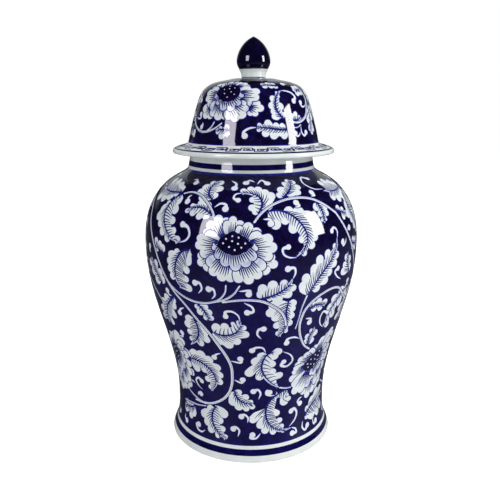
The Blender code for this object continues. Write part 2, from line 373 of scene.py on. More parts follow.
def along(path, count):
    """The same path with count evenly spaced points."""
    s = np.concatenate(([0.0], np.cumsum(np.linalg.norm(np.diff(path, axis=0), axis=1))))
    t = np.linspace(0.0, s[-1], count)
    return np.column_stack((np.interp(t, s, path[:, 0]), np.interp(t, s, path[:, 1])))


def sideways(path):
    """Unit vectors to the left of a path at each of its points."""
    d = np.gradient(path, axis=0)
    d /= np.maximum(np.linalg.norm(d, axis=1), 1e-9)[:, None]
    return np.column_stack((-d[:, 1], d[:, 0]))


def cap(centre, left, radius):
    """Points round the far end of a stroke, from its left side to its right, ends left out."""
    if radius < 0.35:
        return np.zeros((0, 2))
    count = max(3, int(ceil(pi * radius / FINE)))
    angles = np.linspace(0.0, pi, count + 1)[1:-1]
    ahead = np.array((left[1], -left[0]))
    return centre + radius * (np.cos(angles)[:, None] * left + np.sin(angles)[:, None] * ahead)


def circle(centre, radius, count):
    """Points evenly round a circle."""
    angles = np.arange(count) * pi / (count / 2)
    return centre + np.column_stack((np.cos(angles), np.sin(angles))) * radius


def brushed(path, half, grow=0.0, flat_start=False):
    """Outline of a brush stroke along a path, rounded at its ends.

    half lists half widths, evenly spread along the path, and grow widens them all.
    """
    half = np.interp(np.linspace(0.0, 1.0, len(path)), np.linspace(0.0, 1.0, len(half)), half) + grow
    left = sideways(path)
    side_a = path + left * half[:, None]
    side_b = path - left * half[:, None]
    end = cap(path[-1], left[-1], half[-1])
    start = np.zeros((0, 2)) if flat_start else cap(path[0], -left[0], half[0])
    return np.vstack((side_a, end, side_b[::-1], start))


def curl(start, end, bow, count=7):
    """A bowed path from start to end; bow is its swing to the left as a share of its length."""
    start, end = np.array(start, float), np.array(end, float)
    d = end - start
    middle = (start + end) / 2 + bow * np.array((-d[1], d[0]))
    t = np.linspace(0.0, 1.0, count)[:, None]
    return (1 - t) ** 2 * start + 2 * t * (1 - t) * middle + t * t * end


def enclosed(points, outline):
    """Which points an outline winds round, even where the outline crosses itself."""
    inside = np.zeros(len(points), bool)
    in_box = (points >= outline.min(axis=0)) & (points <= outline.max(axis=0))
    near = np.where(in_box.all(axis=1))[0]
    x, y = points[near, 0][:, None], points[near, 1][:, None]
    ax, ay = outline[:, 0][None, :], outline[:, 1][None, :]
    bx, by = np.roll(outline[:, 0], -1)[None, :], np.roll(outline[:, 1], -1)[None, :]
    side = (bx - ax) * (y - ay) - (x - ax) * (by - ay)
    upward = (ay <= y) & (by > y) & (side > 0)
    downward = (ay > y) & (by <= y) & (side < 0)
    inside[near] = upward.sum(axis=1) != downward.sum(axis=1)
    return inside


class Motif:
    """One painted motif: outlines in painting order, each with its paint, cut into triangles together."""

    def __init__(self, wall, places):
        self.wall = wall
        self.patch = wall.patch(places)
        self.areas = []
        self.washes = []

    def flat(self, *places):
        """Listed places as plane points."""
        return self.wall.flat(places, self.patch)

    def add(self, paint, outline):
        """Paint an outline over everything so far."""
        if len(outline) > 2:
            self.areas.append((paint, outline))

    def wash(self, path, reach):
        """Thin blue is let into the white within reach of a path."""
        self.washes.append((np.array(path, float), reach))

    def cut(self):
        """Points and triangles of each paint. The outline painted last over a spot decides its paint."""
        points, edges = [], []
        for _paint, outline in self.areas:
            first, count = len(points), len(outline)
            edges.extend((first + i, first + (i + 1) % count) for i in range(count))
            points.extend(outline.tolist())
        p = np.array(points)
        low, high = p.min(axis=0), p.max(axis=0)
        row_gap = GRAIN * 0.87
        for row, y in enumerate(np.arange(low[1] + GRAIN / 2, high[1], row_gap)):
            shift = GRAIN / 2 if row % 2 else 0.0
            points.extend((x, y) for x in np.arange(low[0] + shift + GRAIN / 2, high[0], GRAIN))
        verts, _e, tris, *_origins = delaunay_2d_cdt([Vector(q) for q in points], edges, [], 0, 1e-4, False)
        verts = np.array([tuple(v) for v in verts])
        tris = np.array([tuple(t) for t in tris])
        centres = verts[tris].mean(axis=1)
        owner = np.full(len(tris), -1)
        for number, (_paint, outline) in enumerate(self.areas):
            owner[enclosed(centres, outline)] = number
        paints = [paint for paint, _outline in self.areas]
        made = {}
        for paint in set(paints) - {"bare"}:
            mine = [number for number, word in enumerate(paints) if word == paint]
            chosen = tris[np.isin(owner, mine)]
            if len(chosen):
                made[paint] = (verts, chosen)
        return made

    def blue_wash(self, points):
        """How much thin blue lies over each point, 0 to 1."""
        amount = np.zeros(len(points))
        for path, reach in self.washes:
            gap = np.linalg.norm(points[:, None, :] - path[None, :, :], axis=2).min(axis=1)
            amount = np.maximum(amount, np.clip(1.0 - gap / reach, 0.0, 1.0))
        return amount


class Layer:
    """Painted triangles gathered for one piece of one colour, as a thin closed body on its wall."""

    def __init__(self):
        self.top, self.under, self.normals, self.tris, self.wash = [], [], [], [], []
        self.count = 0

    def take(self, motif, points, tris, turn, lift):
        """Add one motif's triangles, turned round the jar and raised by lift."""
        used, packed = np.unique(tris, return_inverse=True)
        packed = packed.reshape(-1, 3)
        flat = points[used]
        top, normals = motif.wall.solid(flat, motif.patch, turn, lift)
        under, _n = motif.wall.solid(flat, motif.patch, turn, -PAINT_DEPTH)
        a = flat[packed[:, 0]]
        ab, ac = flat[packed[:, 1]] - a, flat[packed[:, 2]] - a
        turned_over = ab[:, 0] * ac[:, 1] - ab[:, 1] * ac[:, 0] < 0
        packed[turned_over] = packed[turned_over][:, ::-1]
        self.top.append(top)
        self.under.append(under)
        self.normals.append(normals)
        self.tris.append(packed + self.count)
        self.wash.append(motif.blue_wash(flat))
        self.count += len(used)

    def build(self, name, glaze_name):
        """Join the layer into one mesh object: painted face, hidden back and the thin rim between them."""
        top, under = np.vstack(self.top), np.vstack(self.under)
        tris, normals = np.vstack(self.tris), np.vstack(self.normals)
        n = len(top)
        edges = np.vstack((tris[:, [0, 1]], tris[:, [1, 2]], tris[:, [2, 0]]))
        pairs = set(map(tuple, edges.tolist()))
        rim = [(a, b) for a, b in pairs if (b, a) not in pairs]
        walls = [(a + n, b + n, b, a) for a, b in rim]
        faces = tris.tolist() + (tris[:, ::-1] + n).tolist() + walls
        mesh = bpy.data.meshes.new(name)
        mesh.from_pydata(np.vstack((top, under)).tolist(), [], faces)
        mesh.polygons.foreach_set("use_smooth", np.ones(len(faces), bool))
        attribute = mesh.attributes.new("wash", "FLOAT", "POINT")
        wash = np.concatenate(self.wash)
        attribute.data.foreach_set("value", np.concatenate((wash, wash)).astype(np.float32))
        rim_at = np.array(rim)
        across = top[rim_at[:, 1]] - top[rim_at[:, 0]]
        side = np.cross(across, normals[rim_at[:, 0]])
        side /= np.maximum(np.linalg.norm(side, axis=1), 1e-12)[:, None]
        back = -normals[tris[:, ::-1].ravel()]
        corner = np.vstack((normals[tris.ravel()], back, np.repeat(side, 4, axis=0)))
        mesh.normals_split_custom_set(corner.tolist())
        piece = bpy.data.objects.new(name, mesh)
        bpy.context.scene.collection.objects.link(piece)
        glazed(piece, glaze_name)
        return piece


HATCH_PITCH = 2.6               # spacing of the fine blue lines where they leave a rib or a petal's foot
HATCH_HALF = 0.64               # half the width of a fine blue line at its foot
JITTER = random.Random(7)


def hatch(motif, foot, end, bow, half=HATCH_HALF):
    """One fine blue line, drawn from its foot and lifted off to a point."""
    path = curl(foot, end, bow, 5)
    motif.add("hatch", brushed(path, [half, half, half * 0.75, half * 0.3], flat_start=True))


def spread(points, low, high, share):
    """A tip radius for each point: a share of the way to its nearest neighbour, kept between low and high."""
    made = []
    for i, p in enumerate(points):
        gaps = [np.linalg.norm(p - q) for j, q in enumerate(points) if j != i]
        made.append(min(max(share * min(gaps), low), high) if gaps else (low + high) / 2)
    return made


LEAF_POINT = (2.4, 2.1, 1.4, 0.4)   # half widths of the white point that a leaf runs out into
LOBE_FILL = 0.56                # share of a lobe's reach up to which neighbouring lobes are one white body
LOBE_SLANT = 0.55               # how far back along the rib a lobe is rooted, as a share of its reach
LOBE_BOW = 0.10
LEAF_TIP_SHARE = 0.53           # radius of a lobe's end as a share of the way to the next lobe's end
LEAF_HATCH_DEPTH = 0.82         # how far up the lobes the fine lines run
LEAST_LEAN = 0.45               # lobes that lie along the rib still get this share of the fine lines
RIB_WASH = 3.5                  # reach of the thin blue beside a rib


def lobe_roots(path, tips):
    """The lobe ends on each side of a rib, each after the place on the rib where its lobe is rooted."""
    left = sideways(path)
    sides = {1: [], -1: []}
    for tip in tips:
        gaps = np.linalg.norm(path - tip, axis=1)
        near = int(gaps.argmin())
        side = 1 if np.dot(tip - path[near], left[near]) >= 0 else -1
        root = min(max(near - LOBE_SLANT * gaps[near] / FINE, 0.0), len(path) - 2.0)
        sides[side].append((root, tip))
    return {side: sorted(found, key=lambda item: item[0]) for side, found in sides.items() if found}


def leaf_side(path, side, found):
    """One side of a leaf: its lobes, the white body that joins them and the fan that its hatching follows."""
    last_spot = len(path) - 1.0
    roots = [root for root, _tip in found]
    radii = spread([tip for _root, tip in found], 1.7, 5.0, LEAF_TIP_SHARE)
    lobes, valleys, outs, middles, aims = [], [], [], [], []
    for i, (root, tip) in enumerate(found):
        before = (roots[i - 1] + root) / 2 if i else root - 2.0 / FINE
        after = (roots[i + 1] + root) / 2 if i + 1 < len(roots) else min(root + 6.0 / FINE, last_spot)
        before = min(max(before, 0.0), last_spot - 2.0)
        after = max(min(after, last_spot), before + 2.0)
        middle = path[int((before + after) / 2)]
        out = tip - middle
        reach = max(float(np.linalg.norm(out)), 1.0)
        tip_r = min(radii[i] * (1.12 - 0.4 * root / len(path)), 0.44 * reach)
        centre = tip - out / reach * tip_r
        half = min(max((after - before) * FINE * 0.5, 1.2), 6.0)
        if i == 0:
            half *= 0.6
            first = int(before)
        axis = curl(middle, centre, LOBE_BOW * side, 8)
        lobes.append((axis, [half, (half + tip_r) / 2, tip_r * 1.06, tip_r]))
        valleys.append(middle + out * LOBE_FILL)
        outs.append(out / reach)
        middles.append((before + after) / 2)
        aims.append(centre)
    last = int(after)
    body = (np.array(valleys), np.array(outs), path[first:last + 1][::-1])
    return lobes, body, (side, first, last, np.array(middles), np.array(aims))


def hatch_leaf(motif, path, fan):
    """Fine lines from the rib up the lobes of one side; fewer where the lobes lie along the rib."""
    side, first, last, middles, aims = fan
    n = len(path)
    run = path[last] - path[first]
    reach = aims.mean(axis=0) - (path[first] + path[last]) / 2
    size = np.linalg.norm(run) * np.linalg.norm(reach)
    lean = (run[0] * reach[1] - run[1] * reach[0]) / max(size, 0.1)
    lobe_gap = max((middles[-1] - middles[0]) / max(len(middles) - 1, 1), 1.0)
    count = max(2, int(round((last - first) * FINE * max(abs(lean), LEAST_LEAN) / HATCH_PITCH)))
    for k in range(count):
        t = first + (last - first) * (k + 0.5) / count
        foot = path[int(t)]
        beyond = (t - min(max(t, middles[0]), middles[-1])) / n
        aim = np.array((np.interp(t, middles, aims[:, 0]), np.interp(t, middles, aims[:, 1])))
        aim += (path[-1] - path[0]) * beyond * 0.5 + (path[min(int(t) + 3, n - 1)] - foot) * 0.5
        between = np.abs(middles - t).min() / lobe_gap
        share = LEAF_HATCH_DEPTH * (0.86 + 0.5 * min(between, 0.5)) * JITTER.uniform(0.9, 1.1)
        hatch(motif, foot, foot + (aim - foot) * share, 0.12 * side)


def leaf(wall, rib, tips):
    """A scroll leaf: round-ended lobes slanting forward from a cobalt rib, and a white point.

    rib runs from the stalk to the tip. tips are the outermost points of the lobes, in any order.
    """
    motif = Motif(wall, [*rib, *tips])
    path = through(motif.flat(*rib))
    roots = lobe_roots(path, motif.flat(*tips))
    halves = [leaf_side(path, side, found) for side, found in roots.items()]
    lobes = [lobe for half in halves for lobe in half[0]]
    bodies = [half[1] for half in halves]
    point = path[int(len(path) * 0.6):]
    for axis, half in lobes:
        motif.add("edge", brushed(axis, half, OUTLINE, flat_start=True))
    for valleys, outs, shore in bodies:
        motif.add("edge", np.vstack((valleys + outs * OUTLINE * 1.3, shore)))
    motif.add("edge", brushed(path, [0.5, 0.9, 0.8, 0.3], OUTLINE * 0.8))
    motif.add("edge", brushed(point, LEAF_POINT, OUTLINE))
    for valleys, _outs, shore in bodies:
        motif.add("white", np.vstack((valleys, shore)))
    motif.add("white", brushed(point, LEAF_POINT))
    for axis, half in lobes:
        motif.add("white", brushed(axis, half, flat_start=True))
    for half in halves:
        hatch_leaf(motif, path, half[2])
    motif.add("hatch", brushed(path[:int(len(path) * 0.92)], [0.7, 1.1, 0.9, 0.3]))
    motif.wash(path, RIB_WASH)
    return motif


PETAL_TIP_SHARE = 0.56          # radius of a scallop as a share of the way to the next one
PETAL_HATCH_DEPTH = 0.64        # how far toward the scallops the fine lines run
PETAL_WASH = 5.0                # reach of the thin blue at a petal's foot
DOT_R = 0.95


def petal(motif, foot, tips):
    """One scalloped petal in front of what is painted already: white, edged, and hatched from its foot.

    foot is the line it grows from and tips are its scallops, both listed the same way round, in plane mm.
    """
    tips = np.array(tips, float)
    foot = through(foot, 0.6)
    feet = along(foot, max(len(tips), 2))
    radii = spread(list(tips), 2.0, 5.2, PETAL_TIP_SHARE)
    fans = []
    for i, tip in enumerate(tips):
        out = tip - feet[i]
        reach = float(np.linalg.norm(out))
        r = min(radii[i], 0.4 * reach)
        centre = tip - out / reach * r
        half = max(length_of(foot) / len(tips) * 0.62, 0.8)
        fans.append((curl(feet[i], centre, 0.0, 7), [half, (half + r) / 2 * 1.1, r * 1.05, r]))
    for axis, half in fans:
        motif.add("edge", brushed(axis, half, OUTLINE * 1.25, flat_start=True))
    core = np.vstack([foot] + [fan[0][-1:] for fan in reversed(fans)])
    motif.add("white", core)
    for axis, half in fans:
        motif.add("white", brushed(axis, half, flat_start=True))
    rim = through(tips, 1.0) if len(tips) > 1 else np.vstack((tips, tips))
    count = max(2, int(round((length_of(rim) + length_of(foot)) / 2 / HATCH_PITCH)))
    starts, ends = along(foot, count + 2)[1:-1], along(rim, count + 2)[1:-1]
    for k in range(count):
        share = (PETAL_HATCH_DEPTH + (0.08 if k % 2 else -0.06)) * JITTER.uniform(0.9, 1.1)
        hatch(motif, starts[k], starts[k] + (ends[k] - starts[k]) * share, 0.0, HATCH_HALF * 1.15)
    motif.wash(foot, PETAL_WASH)


def flower(wall, centre, petals, disc, dots, dot_r=DOT_R):
    """A peony: scalloped petals from the back to the front round a dark disc with white dots."""
    motif = Motif(wall, [centre])
    for foot, tips in petals[:-1]:
        petal(motif, foot, tips)
    motif.add("bare", through(disc + disc[:1]))
    petal(motif, *petals[-1])
    for dot in np.array(dots, float):
        motif.add("white", circle(dot, dot_r, 8))
    return motif


DROP_HEAD = 2.9                 # radius of a drop's head, and of the smaller ones on the lid
LID_DROP_HEAD = 2.3
HEAD_SWELL = 1.12               # how much rounder the heads of drops are than the brush


def drop(wall, places, head=DROP_HEAD):
    """A comma drop: a round head, then a curved tail. places run from the head to the tail's end."""
    motif = Motif(wall, places)
    head *= HEAD_SWELL
    path = through(motif.flat(*places))
    half = [head * 0.75, head * 0.42, head * 0.33, head * 0.27, 0.15]
    motif.add("edge", circle(path[0], head + OUTLINE, 14))
    motif.add("edge", brushed(path, half, OUTLINE))
    motif.add("white", circle(path[0], head, 14))
    motif.add("white", brushed(path, half))
    return motif


def stem(wall, places, half):
    """A scroll stem: a white line of the given half widths, with a hair of blue along the longer ones."""
    motif = Motif(wall, places)
    path = through(motif.flat(*places))
    motif.add("edge", brushed(path, half, OUTLINE))
    motif.add("white", brushed(path, half))
    if len(path) > 12:
        off = sideways(path) * 0.25
        motif.add("hatch", brushed((path + off)[3:-3], [0.12, 0.2, 0.2, 0.12]))
    return motif


# ---------------------------------------------------------------- what is painted on the vessel
# Each motif is drawn where it lies on the front. The design comes round three times, so most motifs are
# copied to either side. Those past the left edge are copied to the left only, and those past the right
# edge not at all, so that they keep clear of the copies.

VESSEL_COPIES = (120.0, -120.0)     # degrees by which the copies are turned
VESSEL_EDGES = (-50.0, 50.0)        # left and right edge of the drawn part, in degrees
LOW_FLOWER_COPIES = (-109.0, 127.0)


def placed(motif, middle, copies, edges):
    """A motif with the turns it is painted at; middle is the turn at which it was drawn."""
    if middle > edges[1]:
        return motif, (0.0,)
    if middle < edges[0]:
        return motif, (0.0, copies[1])
    return motif, (0.0, *copies)


def mean_turn(places):
    """The turn at the middle of some places."""
    return sum(place[0] for place in places) / len(places)


PEONY_DISC = [(-17, -1), (-13, 5), (-7, 9), (-1, 12), (5, 9), (11, 6), (16, 1), (18, -3), (10, -9), (0, -12),
              (-10, -9)]
PEONY_DOTS = [(-1.8, 7), (4.4, 5.8), (-8, 4.2), (-1.8, 2.2), (3.9, -0.2), (-10.8, -0.3), (-4.8, -3.6),
              (7.2, -3.9),
              (11, 0.2), (0.8, -6.4)]
PEONY_PETALS = [
    ([(-27, -13), (-22, -19)], [(-37.5, -15.5), (-37.5, -23), (-30, -28.5)]),
    ([(23, -20), (27, -13)], [(34, -29.5), (42.5, -22), (40, -14.5)]),
    ([(-17, 2), (-12, 6), (-7, 9)], [(-31.5, 11.5), (-28.5, 20), (-19.5, 27), (-10, 25)]),
    ([(-7, 9), (4, 10)], [(-8, 22), (-2.2, 26.6), (6, 22.5)]),
    ([(4, 10), (10, 7), (15, 2)], [(5.5, 17.5), (15.5, 20.4), (25, 14.5)]),
    ([(15, 4), (17, -5), (19, -13)], [(27, 9), (38, 5.5), (42, -4), (37.5, -13.5), (26, -19)]),
    ([(-18, -12), (-18, -4), (-15, 3)], [(-26, -18), (-35, -12.5), (-40.5, -4), (-39, 3.5), (-30, 8)]),
    ([(-17, -14), (-10, -20), (-3, -22)], [(-27, -23), (-23.5, -33), (-13.5, -38.5), (-4, -39)]),
    ([(3, -22), (12, -20), (18, -15)], [(5, -39.5), (16, -40.5), (25.5, -34.5), (30, -25)]),
    ([(-18, -3), (-10, -9), (0, -12), (10, -9), (18, -3)],
     [(-21.5, -7), (-17.5, -15.5), (-9.5, -23), (2, -27), (14, -22.5), (21, -15.5), (23, -6)]),
]

BOWL_DISC = [(-16, -4), (-11, 3), (-5, 9), (4, 13), (12, 14), (15, 8), (13, 0), (8, -7), (0, -12), (-8, -11)]
BOWL_DOTS = [(-8, -2), (-4, 3), (2, 7), (8, 10), (-2, -4), (3, 1), (8, 4), (-6, -7), (4, -6), (9, -2)]
BOWL_PETALS = [
    ([(-2, 10), (6, 14), (12, 14)], [(-1, 22), (8, 30), (17, 33)]),
    ([(12, 14), (14, 10)], [(24, 36), (31, 28)]),
    ([(-14, 0), (-9, 6), (-2, 10)], [(-27, 2), (-24, 9), (-17, 13.5), (-10, 18)]),
    ([(-10, -11), (-15, -5), (-14, 0)], [(-27, -25), (-31, -18), (-29, -8), (-28, -3)]),
    ([(16, -6), (15, 3), (16, 12)], [(28, -20), (34, -6), (33, 8), (27, 22)]),
    ([(8, -28), (16, -24)], [(10, -45), (19, -42), (26, -37)]),
    ([(-4, -28), (8, -30)], [(-9, -42), (0, -49), (11, -45)]),
    ([(-10, -11), (-2, -13), (6, -14)], [(-26, -27), (-24, -37), (-14, -38), (-3, -34), (5, -26)]),
    ([(14, -22), (22, -10)], [(14, -36), (24, -31), (30, -20)]),
    ([(3, -12), (10, -6), (14, 2), (15, 10)], [(2, -20), (9, -22), (18, -16), (24, -5), (24, 7), (20, 16)]),
]

VESSEL_STEMS = [
    ([(-18, 274), (-20, 283), (-25, 292), (-31, 297.5), (-38, 299), (-43, 297)], [0.9, 1.1, 0.8]),
    ([(1.5, 275), (4, 281), (8, 287), (14, 292), (22, 295), (30, 295), (36, 293), (42, 288), (46, 283),
      (50, 277)],
     [0.9, 1.2, 1.2]),
    ([(-70, 277), (-66, 265), (-61, 250), (-57, 238), (-52, 222), (-47, 207), (-43, 197), (-36, 184),
      (-30, 170),
      (-24, 156), (-19, 141), (-15, 128), (-12.5, 115), (-12.3, 103), (-13, 92), (-15, 82), (-19, 73),
      (-25, 66),
      (-31, 62), (-37, 60.5), (-45, 60)], [1.2, 1.1, 1.2, 1.7, 1.5, 1.0]),
    ([(-50, 215), (-46, 205), (-40, 197), (-33, 191.5), (-26, 190), (-20, 192), (-15, 197.5), (-12.5, 205),
      (-12, 212)],
     [1.0, 1.1, 0.7]),
    ([(-19, 192.5), (-13, 196.5), (-8.5, 203), (-5.5, 212)], [0.8, 1.0, 0.7]),
    ([(-14, 193.5), (-8, 196), (-2, 197), (5, 195.5), (10, 190.5), (15, 182.5), (17.5, 174), (18.5, 166)],
     [0.9, 1.2, 1.0]),
    ([(38, 129), (33, 136), (29, 148), (27, 160), (27, 170), (29, 182), (33, 190), (39, 196), (46, 198.5),
      (52, 196), (57, 188), (62, 180), (66, 176)], [1.0, 1.2, 1.2, 1.0]),
    ([(24.5, 160), (25.5, 172), (26.5, 185), (28.5, 197)], [0.5, 0.7, 0.9]),
    ([(-35, 60), (-42, 62), (-50, 67), (-56, 73)], [0.9, 1.0, 0.7]),
    ([(-35, 57), (-42, 54.5), (-50, 53), (-60, 51)], [0.5, 0.9, 0.7]),
    ([(20, 86), (25, 84), (30, 84)], [0.9, 0.8, 0.6]),
]

VESSEL_LEAVES = [
    # upper left, under the neck
    ([(-46, 298), (-55, 296.5), (-63, 297), (-70, 298)],
     [(-50, 303), (-55, 306), (-61, 308), (-68, 308), (-50, 293), (-56, 289), (-62, 286), (-69, 286)]),
    ([(-44, 297), (-50, 288), (-51.5, 275), (-48, 263), (-43, 254), (-38, 251)],
     [(-54, 285), (-57, 277), (-58.5, 269), (-54.5, 262), (-51, 254), (-46, 248.5), (-44, 286), (-42, 279),
      (-41.5, 271), (-40, 263.5), (-36.5, 255)]),
    ([(-22, 294), (-25.5, 299), (-26, 305), (-23, 309.5)],
     [(-31, 296), (-34, 301), (-32, 306), (-28, 309.5), (-19.5, 299), (-17.5, 304), (-19, 309)]),
    ([(-21, 281.5), (-26, 286), (-31, 286), (-35, 282.5)],
     [(-24, 292), (-29, 293), (-34, 288.5), (-36.5, 281), (-32, 278), (-28, 275.5), (-25, 277)]),
    # upper right, under the neck
    ([(74, 298), (65, 296.5), (57, 297), (50, 298.5)],
     [(70, 303), (65, 306), (59, 308), (53, 307), (71, 292), (65, 288), (59, 286), (53, 289)]),
    # above the peony
    ([(3.5, 282.5), (5.8, 291), (4.5, 297.5), (-0.5, 300.5), (-5.5, 300.5)],
     [(0.5, 284.5), (-1.5, 288.5), (-1, 294), (-6, 304), (-1, 306), (4, 306), (9, 303.5), (13, 300.5),
      (11.5, 293)]),
    ([(18, 296), (22, 300), (26, 305), (28.5, 310)],
     [(15, 300), (17.5, 305), (22, 309), (25.5, 311), (26, 298.5), (31, 300), (33, 304.5), (32, 309)]),
    # the great hooked leaf right of the peony
    ([(8, 284.5), (14, 285), (20, 281), (25, 272), (27.5, 262), (27.5, 254), (25, 246), (21.5, 240)],
     [(12.5, 268), (19, 264), (23, 255), (25.5, 248), (17, 272), (15.5, 285), (22, 286), (28, 284), (33, 279),
      (36.5, 271), (36, 262.5), (33.5, 255.5), (31, 247), (26, 240)]),
    ([(38, 290), (40, 281), (39.5, 270)],
     [(35, 283), (36.5, 277), (37.5, 272), (44.5, 283), (44, 277), (41.5, 272)]),
    ([(50, 280), (55, 277), (61, 273)], [(55, 283), (59, 280), (61, 276), (57, 268), (60, 270)]),
    # right of the lower belly stem
    ([(28.5, 197), (33, 210), (38, 222), (43.5, 233), (46.5, 244), (47, 253)],
     [(24.5, 213), (26, 221), (31, 230), (34, 238.5), (39, 242.5), (44, 247), (36, 203), (41, 209.5),
      (43.5, 217),
      (47, 226), (48.5, 235)]),
    ([(63, 203), (60, 214), (58, 224), (58, 233)],
     [(51.5, 214), (53, 221), (54.5, 230), (62, 209), (63, 218), (62, 227)]),
    ([(61, 243), (67, 239), (73, 236)], [(66, 247), (71, 245), (64, 233), (69, 231)]),
    # far left, beside the long stem
    ([(-48.5, 236), (-53, 239), (-56, 244)], [(-48.5, 245), (-51.5, 248), (-56, 250), (-55, 236)]),
    ([(-52, 200), (-56, 209), (-59.5, 218), (-62, 226)],
     [(-50.5, 210), (-52, 217), (-56, 225), (-60, 201), (-63.5, 210), (-66, 219)]),
    ([(-30.5, 245), (-35, 242), (-38.5, 233), (-40, 221), (-39, 210), (-36, 202)],
     [(-40, 241), (-44.5, 236), (-45.5, 228), (-45, 219.5), (-43.5, 211), (-31.5, 236), (-31, 228.5),
      (-31, 221),
      (-31.5, 213), (-30, 203.5)]),
    # middle
    ([(18.5, 193), (17.8, 182), (18.5, 172), (17.8, 162), (15, 153)],
     [(8.5, 189), (7.5, 180), (10.5, 174), (11.5, 166), (13, 157), (23, 190), (22.5, 183), (22.5, 175),
      (21.8, 166),
      (19.5, 157)]),
    ([(5, 199), (10, 201), (15, 206), (18.5, 212), (20, 219)],
     [(3.5, 207), (5, 214), (10, 217.5), (15, 217.5), (9.5, 196), (15, 195.5), (20, 200), (22, 207.5)]),
    ([(-28, 188), (-24.5, 181), (-22, 171)],
     [(-29.5, 183), (-28, 176), (-25, 171), (-22, 187), (-20, 180), (-19.5, 173)]),
    ([(-21, 157), (-17, 154.5), (-12.5, 155), (-8.5, 158.5), (-6, 165), (-5.5, 172)],
     [(-18, 168), (-14, 169.5), (-10, 171.5), (-7.5, 173), (-2.5, 166), (-1, 157), (-6, 146), (-11, 139.5),
      (-16.5, 142.5),
      (-19.5, 148)]),
    ([(-32, 170), (-30.5, 160), (-31, 150), (-34, 142), (-39, 134)],
     [(-38, 166), (-39.5, 158.5), (-39, 151), (-38.5, 143.5), (-26.5, 160), (-25, 151), (-24.5, 143),
      (-30, 136)]),
    ([(-40, 196), (-46, 186), (-52, 175), (-55, 163), (-56, 152)],
     [(-44, 182), (-45, 174), (-46, 163), (-50, 153), (-53, 187), (-58, 178), (-62, 167), (-63, 156)]),
    ([(-47, 113), (-40, 115), (-33, 113), (-27, 106), (-24.5, 97), (-25, 88), (-29, 79)],
     [(-43, 124), (-36, 128), (-30, 128), (-24.5, 122), (-19.5, 112), (-18.5, 101), (-19.5, 91), (-38.5, 99),
      (-33, 101),
      (-33, 92.5), (-31, 84)]),
    ([(30, 180), (35, 184), (42, 181.5)], [(33, 190), (38, 191), (43, 187), (35, 177), (39, 176)]),
    ([(66, 193), (58, 188), (51, 178), (47, 165), (46, 153)],
     [(60, 195), (53, 193), (47, 186), (44.5, 176), (62, 182), (57, 172), (53, 161), (50, 151)]),
    ([(36, 135), (35.5, 145), (38, 156)], [(32, 142), (32.5, 149), (35, 155), (40, 141), (41.5, 149)]),
    # lower middle
    ([(13, 134), (9, 130), (7, 122), (6.5, 114), (9, 103), (14, 93), (20, 86)],
     [(3.5, 130), (0, 121), (-3.5, 105), (4, 99), (13.5, 132), (18.5, 134), (15.5, 125), (15, 116),
      (16, 108.5), (21, 104),
      (18, 91)]),
    ([(-11.5, 84), (-10, 76), (-6, 70), (1, 68)],
     [(-6.5, 84), (-2, 79), (1, 72.5), (-15, 74), (-14, 65), (-8.5, 59.5), (-2.5, 59), (2, 62)]),
    ([(-26, 60), (-29, 52), (-29.5, 42), (-27, 33), (-22, 26), (-18, 23)],
     [(-22, 57), (-17, 51), (-20.5, 43), (-19, 35), (-17, 26), (-34, 54), (-40, 44), (-36, 34), (-32, 26),
      (-25, 22)]),
    ([(30, 84), (20, 79), (13, 70), (10.5, 58), (12, 45), (17, 36), (25, 31.5), (31, 32)],
     [(7, 54), (-1, 46), (5, 38), (9, 31), (16, 28.5), (24, 28.5), (19.5, 74), (24.5, 62), (21, 53),
      (23, 46), (24, 39)]),
    ([(44, 39), (50, 47), (58, 51), (67, 52)],
     [(46, 51), (53, 60), (59, 67), (66, 66), (48, 35), (56, 31.5), (64, 29.5), (70, 34)]),
    ([(-47, 50), (-53, 46), (-61, 44)], [(-49, 36), (-52.5, 31.5), (-60, 36), (-50, 52), (-58, 53)]),
]

# tendrils that carry a leaf's tip on into a round head, listed from the head
VESSEL_TENDRILS = [
    ([(-36, 269), (-32.5, 267), (-31, 260), (-33, 254), (-37, 251)], 2.9),
    ([(-7.2, 294.5), (-9.8, 296), (-9, 299.5), (-5.5, 300.5)], 2.4),
    ([(17.5, 250.5), (14.8, 249), (15.2, 243.5), (18, 240), (21.5, 239.5)], 2.4),
    ([(43.5, 260.5), (45, 263.5), (47.5, 260), (47.3, 252)], 2.4),
    ([(46, 310), (41, 311.5), (37.5, 307), (42, 301.5), (50, 300)], 2.2),
    ([(17.3, 228.5), (20.5, 229), (21.2, 224), (20, 218)], 2.9),
    ([(-13, 177.5), (-13, 182.5), (-9.5, 183.5), (-6.5, 179), (-5.7, 172)], 2.6),
    ([(46, 170), (42, 173), (40.5, 166), (42, 158), (45.5, 152.5)], 2.2),
    ([(20.5, 119.5), (19, 115.5), (23, 113), (26.5, 119), (24.5, 127), (19, 133)], 2.7),
    ([(-36.5, 88), (-39, 91), (-42, 87), (-40.5, 81), (-37, 77)], 2.6),
    ([(48.5, 219.5), (46, 217), (48, 211), (52, 206)], 2.4),
    ([(30.5, 52.5), (33, 54.5), (35.5, 49), (34, 41), (29, 34)], 2.9),
    ([(-48.5, 80.5), (-47, 83.5), (-43.5, 82)], 1.9),
]

